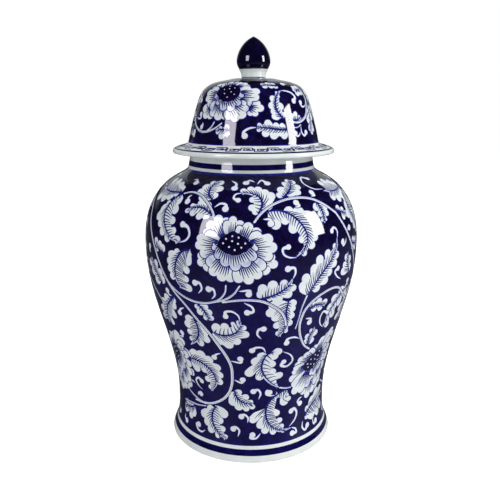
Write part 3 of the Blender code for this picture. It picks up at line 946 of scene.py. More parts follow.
VESSEL_DROPS = [
    [(-37.5, 290.5), (-38, 294), (-36.5, 296.5)],
    [(-40.5, 307), (-42.5, 309.5), (-45.5, 309)],
    [(-13.5, 286.5), (-13.5, 290), (-16.5, 291), (-19.5, 287.5)],
    [(-10.5, 304.5), (-10, 308), (-14, 310.5)],
    [(-3.5, 309), (-1, 311), (2.5, 309.5)],
    [(11, 308.5), (7.5, 311), (4, 308)],
    [(9.5, 273.5), (9.5, 277), (6, 277.5)],
    [(25, 291), (26.5, 288), (23.5, 287)],
    [(38.5, 298.5), (39.5, 296), (36.5, 295.5)],
    [(52, 246.5), (52.5, 242.5), (55, 245.5), (55.5, 249.5)],
    [(60.5, 258.5), (58.5, 257.5), (60.5, 261.5)],
    [(-64, 237), (-64.5, 233), (-62.5, 231)],
    [(-28, 211.5), (-25.5, 212), (-24.5, 206), (-26.5, 200.5)],
    [(-20.8, 206.5), (-18.5, 207), (-17.7, 201), (-19.5, 196)],
    [(-1.2, 203.5), (-0.5, 207), (-5.8, 206.5)],
    [(-2, 183), (1, 184), (0.5, 189), (-3.5, 194)],
    [(6.5, 163.5), (4, 163), (3.3, 157), (5.5, 151.5)],
    [(20.5, 143.5), (20.5, 148), (24.5, 149.5), (28.5, 146.5)],
    [(0.5, 137), (2.5, 140.5), (6.5, 140), (8.5, 134)],
    [(-6.5, 126), (-6, 121.5), (-12.5, 122.5)],
    [(-23, 124.5), (-21.5, 128.5), (-18.5, 131)],
    [(33, 164.5), (33.5, 168.5), (30, 170)],
    [(-48.5, 194.5), (-47.5, 190.5), (-45.5, 190)],
    [(-41.5, 172), (-40.5, 176.5), (-37.3, 180)],
    [(-44.5, 146), (-45, 141), (-49, 141)],
    [(-43.5, 119.5), (-44.5, 123.5), (-47, 125.5)],
    [(62, 199), (61.5, 195), (64, 194)],
    [(-5.5, 99), (-6, 95), (-11, 98)],
    [(1.5, 84), (4.5, 86), (6.5, 81), (5.2, 74)],
    [(12.8, 81.5), (10.8, 84), (10.5, 79.5), (13, 77.5), (16.5, 77)],
    [(27.5, 69.5), (24.5, 70.5), (24.5, 75.5), (26.3, 80)],
    [(-7, 52), (-5, 54.5), (-2.3, 51), (-2.5, 45)],
    [(-13, 36), (-11.5, 38.5), (-8.6, 35), (-9.5, 27.5)],
    [(1, 30), (-0.5, 26.5), (3.5, 26), (6.8, 31.5)],
    [(38.5, 58.5), (36, 61.5), (37.5, 65), (40, 66)],
    [(31.5, 25), (35, 24.5), (34.5, 29), (31, 32)],
    [(47, 26.5), (44, 22.5), (41.3, 27), (41.8, 34.5)],
    [(58.5, 24.5), (55.5, 22.5), (54.3, 27.5), (55.5, 30.5)],
    [(-42.5, 30), (-45, 29), (-43, 24), (-39, 23), (-36, 26.5)],
    [(-58, 25), (-61, 27), (-60.5, 32)],
    [(-45, 93.5), (-43.5, 97.5), (-47.5, 99.5)],
    [(-39, 70.5), (-41, 71), (-42, 67.5)],
]


def on_vessel(motif, places):
    """A motif of the vessel with its turns."""
    return placed(motif, mean_turn(places), VESSEL_COPIES, VESSEL_EDGES)


def vessel_stems():
    """The long running stems and their branches."""
    return [on_vessel(stem(VESSEL, places, half), places) for places, half in VESSEL_STEMS]


def vessel_leaves():
    """Every leaf of the vessel."""
    return [on_vessel(leaf(VESSEL, rib, tips), rib) for rib, tips in VESSEL_LEAVES]


def vessel_drops():
    """Comma drops and the tendrils that end in one."""
    drops = [on_vessel(drop(VESSEL, places), places) for places in VESSEL_DROPS]
    return drops + [on_vessel(drop(VESSEL, places, head), places) for places, head in VESSEL_TENDRILS]


def vessel_flowers():
    """The large peony on the belly and the smaller, sideways one low on the wall."""
    peony = flower(VESSEL, (-8, 255), PEONY_PETALS, PEONY_DISC, PEONY_DOTS)
    low_flower = flower(VESSEL, (45, 110), BOWL_PETALS, BOWL_DISC, BOWL_DOTS)
    return [(peony, (0.0, *VESSEL_COPIES)), (low_flower, (0.0, *LOW_FLOWER_COPIES))]


# ---------------------------------------------------------------- what is painted on the lid
# Places here are a turn round the lid's own axis and the distance in mm up over the lid from the brim's edge.

LID_DISC = [(-13, 4), (-9, 8), (-3, 10), (4, 10), (10, 7), (13, 2), (12.5, -4), (8, -9), (0, -11.5),
            (-8, -9), (-12.5, -4)]
LID_DOTS = [(-6, 3), (0, 4), (6, 5), (-4, -2), (3, 0), (-1, 8), (0, -6), (7, -3)]
LID_PETALS = [
    ([(-9, 8), (0, 10), (7, 9)], [(-14, 14), (-5, 17), (4, 16.5)]),
    ([(7, 9), (12, 5)], [(12, 15), (19, 12.5), (23, 7)]),
    ([(-14, 2), (-11, 6)], [(-26, 5), (-21, 11), (-14, 13)]),
    ([(-20, -15), (-15, -20)], [(-29, -20), (-25, -28), (-17, -29)]),
    ([(25, -14), (22, -20)], [(33, -12), (36, -18), (30, -25), (25, -25)]),
    ([(13, 2), (15, -4), (14, -11)], [(24, 4), (33, 1), (32, -6), (25, -12)]),
    ([(-13, -11), (-15, -4), (-14, 2)], [(-24, -13), (-29, -7), (-30, 0), (-24, 4)]),
    ([(-13, -11), (-8, -16), (-1, -19)], [(-17, -19), (-15, -26), (-7, -30), (1, -29)]),
    ([(2, -18), (8, -17), (13, -12)], [(5, -29), (12, -31), (19, -27), (22, -19), (20, -13)]),
    ([(-12.5, -4), (-8, -9), (0, -11.5), (8, -9), (12.5, -4)],
     [(-15, -7), (-10, -14), (-2, -20), (7, -20), (14, -14), (17, -5)]),
]

LID_STEMS = [
    ([(-29, 43), (-34, 38.5), (-42, 34.5), (-50, 33.5), (-58, 36), (-65, 41), (-71, 48)],
     [0.6, 1.0, 1.1, 0.9]),
    ([(-37, 44), (-39.5, 39), (-44, 34.5)], [0.6, 0.8, 0.8]),
    ([(33, 45), (42, 43.5), (50, 46), (57, 51), (62, 60), (65, 69), (62, 79)], [0.8, 1.1, 1.2, 1.0]),
    ([(36, 38), (42, 39), (46, 41)], [0.4, 0.6, 0.4]),
]

LID_LEAVES = [
    ([(29, 36), (20, 37), (11, 38.5), (1, 39)],
     [(24, 43), (18, 43.5), (11, 46.5), (4, 43.5), (25, 27), (21, 30.5), (15, 27.5), (8, 30), (3, 35)]),
    ([(27, 48), (22.5, 54), (20.5, 61), (21.5, 68), (24, 73), (29, 77.5)],
     [(16, 50), (15.5, 56), (14, 63), (16.5, 71), (23, 76.5), (29, 54), (28.5, 62), (26.5, 71)]),
    ([(35, 46), (41, 46), (48, 48)], [(37.5, 53), (42, 55), (46, 51)]),
    ([(-21, 36), (-27, 36.5), (-34, 36)], [(-24, 42), (-30, 40), (-24, 29.5), (-29, 27), (-33, 32)]),
    ([(64, 66), (66, 56), (64, 45), (60, 35)],
     [(70, 58), (71, 46), (68, 33), (60, 56), (57, 45), (57.5, 35), (63, 30)]),
    ([(62, 78), (57, 79), (51, 78)], [(56, 85), (49, 84), (47, 79), (50, 72), (57, 73)]),
    ([(28, 84), (19, 85.5), (9, 86)], [(23, 90), (15, 91), (8, 88), (24, 80.5), (18, 81), (11.5, 80.5)]),
]

LID_TENDRILS = [
    ([(-7.5, 30.5), (-8.5, 34), (-4, 38), (2, 39)], 2.8),
    ([(42.5, 66), (45.5, 70), (42.5, 74.5), (36, 77), (29, 77.5)], 2.5),
]

LID_DROPS = [
    [(52.5, 64.5), (53, 60.5), (57, 60), (60.5, 62)],
    [(38, 32.5), (39, 29.5), (41.5, 30), (43.5, 33)],
    [(51.5, 33), (48.5, 29.5), (45.5, 33), (45.5, 39.5)],
    [(-58, 52), (-56.5, 48.5), (-60, 47), (-64, 48.5)],
    [(-52.5, 38.5), (-51, 41), (-52.5, 43)],
    [(-64, 29.5), (-62.5, 33), (-64, 36)],
    [(-65.5, 66.5), (-66.5, 70), (-65, 73)],
    [(38, 88), (42, 88.5), (44, 86)],
]


LID_COPIES = (128.0, -116.0)    # degrees by which the lid's copies are turned
LID_EDGES = (-45.0, 50.0)       # left and right edge of the part drawn on the lid
LID_DOT_R = 0.6


def on_lid(motif, places):
    """A motif of the lid with its turns."""
    return placed(motif, mean_turn(places), LID_COPIES, LID_EDGES)


def lid_stems():
    """The running stems of the lid."""
    return [on_lid(stem(LID, places, half), places) for places, half in LID_STEMS]


def lid_leaves():
    """Every leaf of the lid."""
    return [on_lid(leaf(LID, rib, tips), rib) for rib, tips in LID_LEAVES]


def lid_drops():
    """Comma drops and tendrils of the lid."""
    drops = [on_lid(drop(LID, places, LID_DROP_HEAD), places) for places in LID_DROPS]
    return drops + [on_lid(drop(LID, places, head), places) for places, head in LID_TENDRILS]


def lid_flowers():
    """The lid's peony."""
    return [(flower(LID, (-27, 76), LID_PETALS, LID_DISC, LID_DOTS, LID_DOT_R), (0.0, *LID_COPIES))]


FRET_UNITS = 18                 # key fret units round the brim
FRET_LOW = 6.6                  # band of the fret, as distances up from the brim's edge
FRET_HIGH = 18.2


def fret_unit():
    """One unit of the brim's running fret: a squared scroll hung from its top and one stood on its foot."""
    motif = Motif(LID, [(0, FRET_LOW), (0, FRET_HIGH)])
    width = 2.0 * pi * np.interp(12.5, LID.s, LID.r) / FRET_UNITS
    tall = FRET_HIGH - FRET_LOW
    low = -tall / 2

    def line(points, half, paint="hatch"):
        """A pen line through points given as shares of the unit's width and height."""
        path = np.array(points, float) * (width, tall) + (-width / 2, low)
        path = np.vstack([along(path[i:i + 2], 6)[:-1] for i in range(len(path) - 1)] + [path[-1:]])
        motif.add(paint, brushed(path, half))

    hung = [(0.02, 0.30), (0.02, 0.93), (0.46, 0.93), (0.46, 0.34),
            (0.14, 0.34), (0.14, 0.70), (0.33, 0.70), (0.33, 0.50)]
    stood = [(0.50 + u, 1.0 - v) for u, v in hung]
    for scroll in (hung, stood):
        line(scroll, [0.72, 0.8, 0.8, 0.7])
        eye = [(scroll[-1][0] - 0.08, scroll[-1][1]), (scroll[-1][0] + 0.06, scroll[-1][1])]
        line(eye, [1.0, 1.2, 1.0], "edge")
    return motif


# ---------------------------------------------------------------- glazes

def srgb(code):
    """A colour written as an sRGB hex value, turned to linear."""
    values = [int(code[i:i + 2], 16) / 255 for i in (0, 2, 4)]
    return tuple(v / 12.92 if v <= 0.04045 else ((v + 0.055) / 1.055) ** 2.4 for v in values)


def per_metre(millimetres):
    """Texture scale of a pattern whose features are this many millimetres apart."""
    return 1.0 / (millimetres * MM)


def add_node(tree, kind, settings=(), links=()):
    """Add a node: settings are (name or input, value) pairs and links are (input, source socket) pairs.

    The setting called stops is a ramp's list of (place, colour) pairs.
    """
    node = tree.nodes.new(kind)
    for name, value in settings:
        if name == "stops":
            elements = node.color_ramp.elements
            while len(elements) < len(value):
                elements.new(0.5)
            for element, (place, colour) in zip(elements, value):
                element.position = place
                element.color = (*colour, 1.0)
        elif isinstance(name, str) and hasattr(node, name):
            setattr(node, name, value)
        else:
            node.inputs[name].default_value = value
    for name, source in links:
        tree.links.new(source, node.inputs[name])
    return node


WAVE_SPACING = 38.0             # mm between the crests of the slow wave in the glaze
GLAZE_IOR = 1.5
COBALT_POOLS = (0.30, 0.50, 0.72)   # where the dark, middle and light tones lie in the blotches


def glaze(name, roughness, wave):
    """A glossy clear-glazed base: the material, its tree, its shader and the object's own coordinates.

    Fired glaze is never quite flat, so a slow wave in it bends the edges of reflections.
    """
    material = bpy.data.materials.new(name)
    material.use_nodes = True
    tree = material.node_tree
    shader = tree.nodes["Principled BSDF"]
    shader.inputs["Roughness"].default_value = roughness
    shader.inputs["IOR"].default_value = GLAZE_IOR
    place = add_node(tree, "ShaderNodeTexCoord").outputs["Object"]
    slow = add_node(tree, "ShaderNodeTexNoise",
                    [("Scale", per_metre(WAVE_SPACING)), ("Detail", 1.0)],
                    [("Vector", place)])
    bump = add_node(tree, "ShaderNodeBump",
                    [("Strength", 1.0), ("Distance", wave * MM)],
                    [("Height", slow.outputs["Fac"])])
    tree.links.new(bump.outputs["Normal"], shader.inputs["Normal"])
    return material, tree, shader, place


def brushed_cobalt(name, tones, blotch, roughness, wave, floor_reflection_tones=None):
    """Underglaze cobalt, laid on wet with a soft brush: it pools into darker blotches between lighter ones.

    Down the pot other tones take over: lighter and more violet, they are a painted reflection of the pale
    floor in the glaze.
    """
    material, tree, shader, place = glaze(name, roughness, wave)
    blotches = add_node(tree, "ShaderNodeTexNoise",
                        [("Scale", per_metre(blotch)), ("Detail", 5.0),
                         ("Roughness", 0.62), ("Distortion", 0.7)],
                        [("Vector", place)]).outputs["Fac"]
    colour = add_node(tree, "ShaderNodeValToRGB",
                      [("stops", list(zip(COBALT_POOLS, tones)))], [("Fac", blotches)]).outputs["Color"]
    # painted reflection: the ground is lightened toward violet down the pot, as if mirroring the pale floor
    if floor_reflection_tones:
        low = add_node(tree, "ShaderNodeValToRGB",
                       [("stops", list(zip(COBALT_POOLS, floor_reflection_tones)))], [("Fac", blotches)]).outputs["Color"]
        height = add_node(tree, "ShaderNodeSeparateXYZ", (), [("Vector", place)]).outputs["Z"]
        share = add_node(tree, "ShaderNodeMapRange",
                         [("interpolation_type", "SMOOTHSTEP"), ("From Min", 0.26), ("From Max", 0.17)],
                         [("Value", height)])
        mixed = add_node(tree, "ShaderNodeMix", [("data_type", "RGBA")],
                         [(0, share.outputs["Result"]), (6, colour), (7, low)])
        colour = mixed.outputs[2]
    tree.links.new(colour, shader.inputs["Base Color"])
    return material


def clear_white(name, white, shade, wash_blue, roughness, wave):
    """White porcelain under clear glaze, faintly cloudy. wash_blue lies thin on it beside the fine lines."""
    material, tree, shader, place = glaze(name, roughness, wave)
    cloud = add_node(tree, "ShaderNodeTexNoise",
                     [("Scale", per_metre(16)), ("Detail", 3.0)], [("Vector", place)])
    tone = add_node(tree, "ShaderNodeValToRGB",
                    [("stops", [(0.35, shade), (0.6, white)])], [("Fac", cloud.outputs["Fac"])])
    colour = tone.outputs["Color"]
    if wash_blue:
        wash = add_node(tree, "ShaderNodeAttribute", [("attribute_name", "wash")])
        streak = add_node(tree, "ShaderNodeTexNoise",
                          [("Scale", per_metre(5)), ("Detail", 2.0)], [("Vector", place)])
        amount = add_node(tree, "ShaderNodeMath",
                          [("operation", "MULTIPLY_ADD"), (1, 0.8), (2, 0.1)], [(0, streak.outputs["Fac"])])
        thin = add_node(tree, "ShaderNodeMath", [("operation", "MULTIPLY"), ("use_clamp", True)],
                        [(0, wash.outputs["Fac"]), (1, amount.outputs["Value"])])
        mixed = add_node(tree, "ShaderNodeMix",
                         [("data_type", "RGBA"), (7, (*wash_blue, 1.0))],
                         [(0, thin.outputs["Value"]), (6, colour)])
        colour = mixed.outputs[2]
    tree.links.new(colour, shader.inputs["Base Color"])
    return material


def biscuit(name):
    """Bare fired porcelain, wiped clean of glaze: matt, faintly warm and gritty."""
    material, tree, shader, place = glaze(name, 0.75, 0.0)
    grit = add_node(tree, "ShaderNodeTexNoise",
                    [("Scale", per_metre(1.2)), ("Detail", 4.0)], [("Vector", place)])
    tone = add_node(tree, "ShaderNodeValToRGB",
                    [("stops", [(0.3, srgb("cfc8b8")), (0.7, srgb("e6e0d2"))])],
                    [("Fac", grit.outputs["Fac"])])
    tree.links.new(tone.outputs["Color"], shader.inputs["Base Color"])
    return material


def tones(*codes):
    """The linear colours of some sRGB hex values."""
    return [srgb(code) for code in codes]


GLAZES = {}


def make_glazes():
    """Mix all the glazes of the jar, from the colours and the finish that the user has set."""
    looks = bpy.context.scene.ginger_jar
    finish = (looks.gloss_roughness, looks.glaze_wave)
    bud_finish = (looks.gloss_roughness * 0.8, looks.glaze_wave)
    dark, light = tones("06031e", "170e48")
    # the ground's lighter, more violet lower tones are a painted reflection of the pale floor
    ground, floor_reflected_ground = (dark, looks.ground_blue, light), tones("0b0734", "110b44", "1a125a")
    GLAZES["ground"] = brushed_cobalt("cobalt_ground_brushed_with_painted_floor_reflection_glazed", ground, 11, *finish, floor_reflected_ground)
    blues = {
        "edge": ("cobalt_outline_glazed", tones("120c5c", "1a1a80", "272a98"), 6, *finish),
        "hatch": ("cobalt_hatching_glazed", tones("10125c", "181e6e", "2a3692"), 4, *finish),
        "band": ("cobalt_band_glazed", tones("070430", "0d0a48", "161260"), 9, *finish),
        "bud": ("cobalt_bud_dipped_glazed", tones("04021a", "080424", "100a34"), 8, *bud_finish),
        # a thin blue-grey line round the collar's foot, partly painted shade where the collar meets the lid
        "collar_foot_line_and_shade": ("thin_cobalt_line_glazed", tones("4a5486", "5f6a9a", "7a84ae"), 5, *finish),
    }
    for name, recipe in blues.items():
        GLAZES[name] = brushed_cobalt(*recipe)
    shade, wash = tones("dfe6ec", "7f90d0")
    GLAZES["white"] = clear_white("reserved_white_glazed", looks.flower_white, shade, wash, *finish)
    GLAZES["plain"] = clear_white("porcelain_white_glazed", *tones("e9eeee", "e1e7e7"), None, *finish)
    GLAZES["biscuit"] = biscuit("bare_biscuit_foot")


def glazed(piece, *names):
    """Give a piece its glazes, one slot each, and mix them first if that isn't done yet."""
    if not GLAZES:
        make_glazes()
    for name in names:
        piece.data.materials.append(GLAZES[name])


# ---------------------------------------------------------------- building pieces

def faces_where(piece, chosen, slot):
    """Give the faces whose centre, in mm, passes a test the piece's material slot of that number."""
    bpy.context.view_layer.objects.active = piece
    bpy.ops.object.mode_set(mode="EDIT")
    bpy.ops.mesh.select_mode(type="FACE")
    bpy.ops.mesh.select_all(action="DESELECT")
    bpy.ops.object.mode_set(mode="OBJECT")
    for face in piece.data.polygons:
        face.select = chosen(face.center / MM)
    bpy.ops.object.mode_set(mode="EDIT")
    piece.active_material_index = slot
    bpy.ops.object.material_slot_assign()
    bpy.ops.object.mode_set(mode="OBJECT")


def outer_faces(outline, axis_x, low, high, depth):
    """A test for faces on a wall's outside between two heights; outline runs from its top to its bottom."""
    r, z = np.array(outline[::-1]).T

    def test(centre):
        """True for the centre of such a face."""
        wall_r = np.interp(centre.z, z, r)
        return low < centre.z < high and hypot(centre.x - axis_x, centre.y) > float(wall_r) - depth

    return test


def settle(piece, body):
    """Tie a painted piece to the jar or the lid."""
    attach(piece, body)


BAND_ROW = 1.2                  # mm between the rows of faces up a band


def band(name, low, high, lift, glaze_name, body):
    """A painted band: a thin closed ring between two places on the wall, raised lift mm above the skin."""
    wall = VESSEL if body == "jar" else LID
    rows = max(3, int((high - low) / BAND_ROW) + 2)
    s = np.linspace(*np.interp((low, high), wall.v, wall.s), rows)
    r, z = np.interp(s, wall.s, wall.r), np.interp(s, wall.s, wall.z)
    nr, nz = np.interp(s, wall.s, wall.nr), np.interp(s, wall.s, wall.nz)
    outer = list(zip(r + nr * lift, z + nz * lift))[::-1]
    inner = list(zip(r - nr * PAINT_DEPTH, z - nz * PAINT_DEPTH))
    piece = turned(name, outer + inner + outer[:1], TURN_STEPS, wall.axis_x)
    glazed(piece, glaze_name)
    settle(piece, body)


VESSEL_BANDS = [                # name, lowest and highest place, height above the skin, glaze
    ("jar_foot_navy_band", 7.3, 13.6, 0.10, "band"),
    ("jar_foot_white_line", 13.6, 17.4, 0.08, "plain"),
    ("jar_foot_blue_edge", 16.9, 18.3, 0.05, "edge"),
    ("jar_neck_blue_line", 314.6, 316.9, 0.06, "edge"),
    ("jar_neck_white_line", 316.8, 320.0, 0.09, "plain"),
    ("jar_neck_navy_band", 319.9, 325.5, 0.12, "band"),
]
LID_BANDS = [
    ("lid_brim_navy_line", 2.9, 5.4, 0.10, "band"),
    ("lid_dome_foot_white", 18.4, 20.2, 0.08, "plain"),
    ("lid_dome_foot_edge", 20.0, 21.4, 0.05, "edge"),
    ("lid_crown_ring_edge", 111.6, 113.2, 0.05, "edge"),
    ("lid_crown_white_ring", 113.0, 122.5, 0.08, "plain"),
]
GROUND_FOOT_Z = 15.0            # lowest and highest place of the vessel's blue ground
GROUND_NECK_Z = 317.5
CROWN_GROUND_Z = 413.2          # highest place of the lid's blue ground
REST_H = 0.3                    # the bare ring of the foot reaches this high

PAINTS = {"edge": "outline", "white": "white", "hatch": "hatching"}     # the paints, and their word in names

# How many mm each paint lies above the skin: leaves lowest, then stems, drops and flowers
LEAF_LIFTS = {"edge": 0.02, "white": 0.06, "hatch": 0.06}
STEM_LIFTS = {"edge": 0.09, "white": 0.12, "hatch": 0.12}
DROP_LIFTS = {"edge": 0.10, "white": 0.13, "hatch": 0.13}
FLOWER_LIFTS = {"edge": 0.15, "white": 0.18, "hatch": 0.18}
FRET_LIFTS = {"edge": 0.05, "white": 0.08, "hatch": 0.08}


def paint(kind, drawn, body, split):
    """Build one piece for each paint; split gives each of the design's three copies pieces of its own.

    drawn is a list of (motifs with their turns, lifts of the paints).
    """
    cuts = [(motif, motif.cut(), turns, lifts) for motifs, lifts in drawn for motif, turns in motifs]
    for number in range(3 if split else 1):
        for colour, word in PAINTS.items():
            layer = Layer()
            for motif, made, turns, lifts in cuts:
                for turn in (turns[number:number + 1] if split else turns):
                    if colour in made:
                        layer.take(motif, *made[colour], turn, lifts[colour])
            ending = f"_{number + 1}" if split else ""
            if layer.count:
                settle(layer.build(f"{body}_{kind}_{word}{ending}", colour), body)


# ---------------------------------------------------------------- sizes and colours a user would change

class GingerJarLooks(bpy.types.PropertyGroup):
    """Finish and main colours of the jar's glazes."""

    gloss_roughness: bpy.props.FloatProperty(
        name="Gloss roughness", description="Roughness of the clear glaze", default=0.045, min=0.0, max=1.0)
    glaze_wave: bpy.props.FloatProperty(
        name="Glaze wave", description="Height of the slow wave in the fired glaze, in millimetres",
        default=0.16, min=0.0, max=2.0)
    ground_blue: bpy.props.FloatVectorProperty(
        name="Ground blue", description="Middle tone of the cobalt ground", default=srgb("0d072e"),
        subtype="COLOR", size=3, min=0.0, max=1.0)
    flower_white: bpy.props.FloatVectorProperty(
        name="Flower white", description="Light tone of the flowers, leaves and drops",
        default=srgb("e9eef1"), subtype="COLOR", size=3, min=0.0, max=1.0)


class GingerJarStudio(bpy.types.PropertyGroup):
    """Camera and floor paper of the studio."""

    lens: bpy.props.FloatProperty(
        name="Lens", description="Focal length on a 36 mm sensor, in millimetres", default=43.43, min=10.0)
    camera_place: bpy.props.FloatVectorProperty(
        name="Camera place", description="Where the camera stands", default=(-0.00124, -0.6879, 0.3883),
        subtype="TRANSLATION", unit="LENGTH")
    camera_pitch: bpy.props.FloatProperty(
        name="Camera pitch", description="How far the camera looks down", default=radians(13.81),
        subtype="ANGLE", unit="ROTATION")
    paper: bpy.props.FloatVectorProperty(
        name="Floor colour", description="Colour of the paper the jar stands on", default=srgb("f2f2f2"),
        subtype="COLOR", size=3, min=0.0, max=1.0)


# ---------------------------------------------------------------- operators

class GINGERJAR_OT_vessel(bpy.types.Operator):
    """Turn the vessel: white inside and under the foot, blue ground outside, bare foot ring"""
    bl_idname = "gingerjar.vessel"
    bl_label = "Vessel"

    def execute(self, _context):
        """Build the piece."""
        piece = turned("jar_wall", vessel_section(), TURN_STEPS, 0.0)
        glazed(piece, "plain", "ground", "biscuit")
        faces_where(piece, outer_faces(vessel_outside(4), 0.0, GROUND_FOOT_Z, GROUND_NECK_Z, WALL / 2), 1)
        faces_where(piece, lambda c: c.z < REST_H and hypot(c.x, c.y) > FOOT_RING_INNER_R, 2)
        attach(piece, "jar")
        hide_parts("jar_body")
        return {"FINISHED"}


class GINGERJAR_OT_vessel_bands(bpy.types.Operator):
    """Paint the bands round the vessel's foot and neck"""
    bl_idname = "gingerjar.vessel_bands"
    bl_label = "Foot and neck bands"

    def execute(self, _context):
        """Build the pieces."""
        for ring in VESSEL_BANDS:
            band(*ring, "jar")
        return {"FINISHED"}


class GINGERJAR_OT_vessel_painting(bpy.types.Operator):
    """Paint the flowers, leaves, stems and drops on the vessel"""
    bl_idname = "gingerjar.vessel_painting"
    bl_label = "Vessel painting"

    def execute(self, _context):
        """Build the pieces."""
        paint("scrolls", [(vessel_stems(), STEM_LIFTS), (vessel_drops(), DROP_LIFTS)], "jar", True)
        paint("leaves", [(vessel_leaves(), LEAF_LIFTS)], "jar", True)
        paint("flowers", [(vessel_flowers(), FLOWER_LIFTS)], "jar", True)
        return {"FINISHED"}


class GINGERJAR_OT_lid(bpy.types.Operator):
    """Turn the lid: blue dome, white brim and inside"""
    bl_idname = "gingerjar.lid"
    bl_label = "Lid"

    def execute(self, _context):
        """Build the piece."""
        piece = turned("lid_wall", lid_section(), TURN_STEPS, LID_X)
        glazed(piece, "plain", "ground")
        ground_low = LID_SEAT_Z + DOME_FOOT[1]
        faces_where(piece, outer_faces(lid_outside(4), LID_X, ground_low, CROWN_GROUND_Z, LID_WALL / 2), 1)
        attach(piece, "lid")
        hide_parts("lid")
        return {"FINISHED"}


class GINGERJAR_OT_lid_bands(bpy.types.Operator):
    """Paint the brim's line and fret and the ring round the crown"""
    bl_idname = "gingerjar.lid_bands"
    bl_label = "Brim and crown bands"

    def execute(self, _context):
        """Build the pieces."""
        for ring in LID_BANDS:
            band(*ring, "lid")
        unit = fret_unit()
        made = unit.cut()
        for colour, word in PAINTS.items():
            if colour not in made:
                continue
            layer = Layer()
            for i in range(FRET_UNITS):
                layer.take(unit, *made[colour], i * 360.0 / FRET_UNITS, FRET_LIFTS[colour])
            settle(layer.build(f"lid_brim_fret_{word}", colour), "lid")
        return {"FINISHED"}


class GINGERJAR_OT_lid_painting(bpy.types.Operator):
    """Paint the flowers, leaves, stems and drops on the lid"""
    bl_idname = "gingerjar.lid_painting"
    bl_label = "Lid painting"

    def execute(self, _context):
        """Build the pieces."""
        paint("scrolls", [(lid_stems(), STEM_LIFTS), (lid_drops(), DROP_LIFTS)], "lid", False)
        paint("leaves", [(lid_leaves(), LEAF_LIFTS)], "lid", False)
        paint("flowers", [(lid_flowers(), FLOWER_LIFTS)], "lid", False)
        return {"FINISHED"}


class GINGERJAR_OT_knob(bpy.types.Operator):
    """Turn the white collar and the blue bud on the lid"""
    bl_idname = "gingerjar.knob"
    bl_label = "Collar and bud"

    def execute(self, _context):
        """Build the pieces."""
        collar = turned("lid_collar_white", collar_section(), KNOB_STEPS, LID_X)
        # the collar's foot gets a thin blue-grey line that is partly painted shade where the collar meets the
        # lid
        glazed(collar, "plain", "collar_foot_line_and_shade")
        shade_line_top = COLLAR_BOX[0][2] / MM + COLLAR_SHADE_LINE_H
        faces_where(collar, lambda centre: centre.z < shade_line_top, 1)
        bud = turned("lid_bud", knob_section(), KNOB_STEPS, LID_X)
        glazed(bud, "bud")
        for piece, node in ((collar, "lid_knob_collar"), (bud, "lid_knob")):
            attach(piece, "lid")
            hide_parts(node)
        return {"FINISHED"}


LAMPS_LOOK_AT = (0.0, 0.0, 0.25)
LAMPS = [
    # name, turn to the right and rise in degrees, distance, width and height in metres, radiance,
    # seen in, colour
    ("mirrored_left", -43, 23, 1.0, 0.34, 0.46, 13.5, "gloss", "f4eefc"),
    ("mirrored_right", 71, 19, 1.0, 0.25, 0.50, 21.0, "gloss", "ffffff"),
    ("key_right", 62, 38, 2.0, 1.2, 1.2, 4.0, "paint", "ffffff"),
]
WHITE = (1.0, 1.0, 1.0, 1.0)
FLOOR_R = 4.0
FLOOR_GLOW = 0.7                # the paper's own light, for the camera only, so that it ends in plain white
TENT_LIGHT = 0.74               # light of the white tent, for the colours only
MIRRORED_TENT_LIGHT = 0.18      # the same for what is only seen mirrored in the glaze
SENSOR_WIDTH = 36.0


def softbox(name, turn, rise, distance, wide, tall, radiance, seen_in, colour):
    """A flat lamp that looks at the jar's middle.

    seen_in is "gloss" for a lamp that the glaze mirrors, or "paint" for one that only lights the colours.
    """
    lamp = bpy.data.lights.new(name, "AREA")
    lamp.shape = "RECTANGLE"
    lamp.size, lamp.size_y = wide, tall
    lamp.energy = radiance * pi * wide * tall
    lamp.color = srgb(colour)
    light = bpy.data.objects.new(name, lamp)
    turn, rise = radians(turn), radians(rise)
    away = Vector((sin(turn) * cos(rise), -cos(turn) * cos(rise), sin(rise)))
    light.location = Vector(LAMPS_LOOK_AT) + away * distance
    light.rotation_euler = away.to_track_quat("Z", "Y").to_euler()
    light.visible_glossy = seen_in == "gloss"
    light.visible_diffuse = seen_in == "paint"
    bpy.context.scene.collection.objects.link(light)


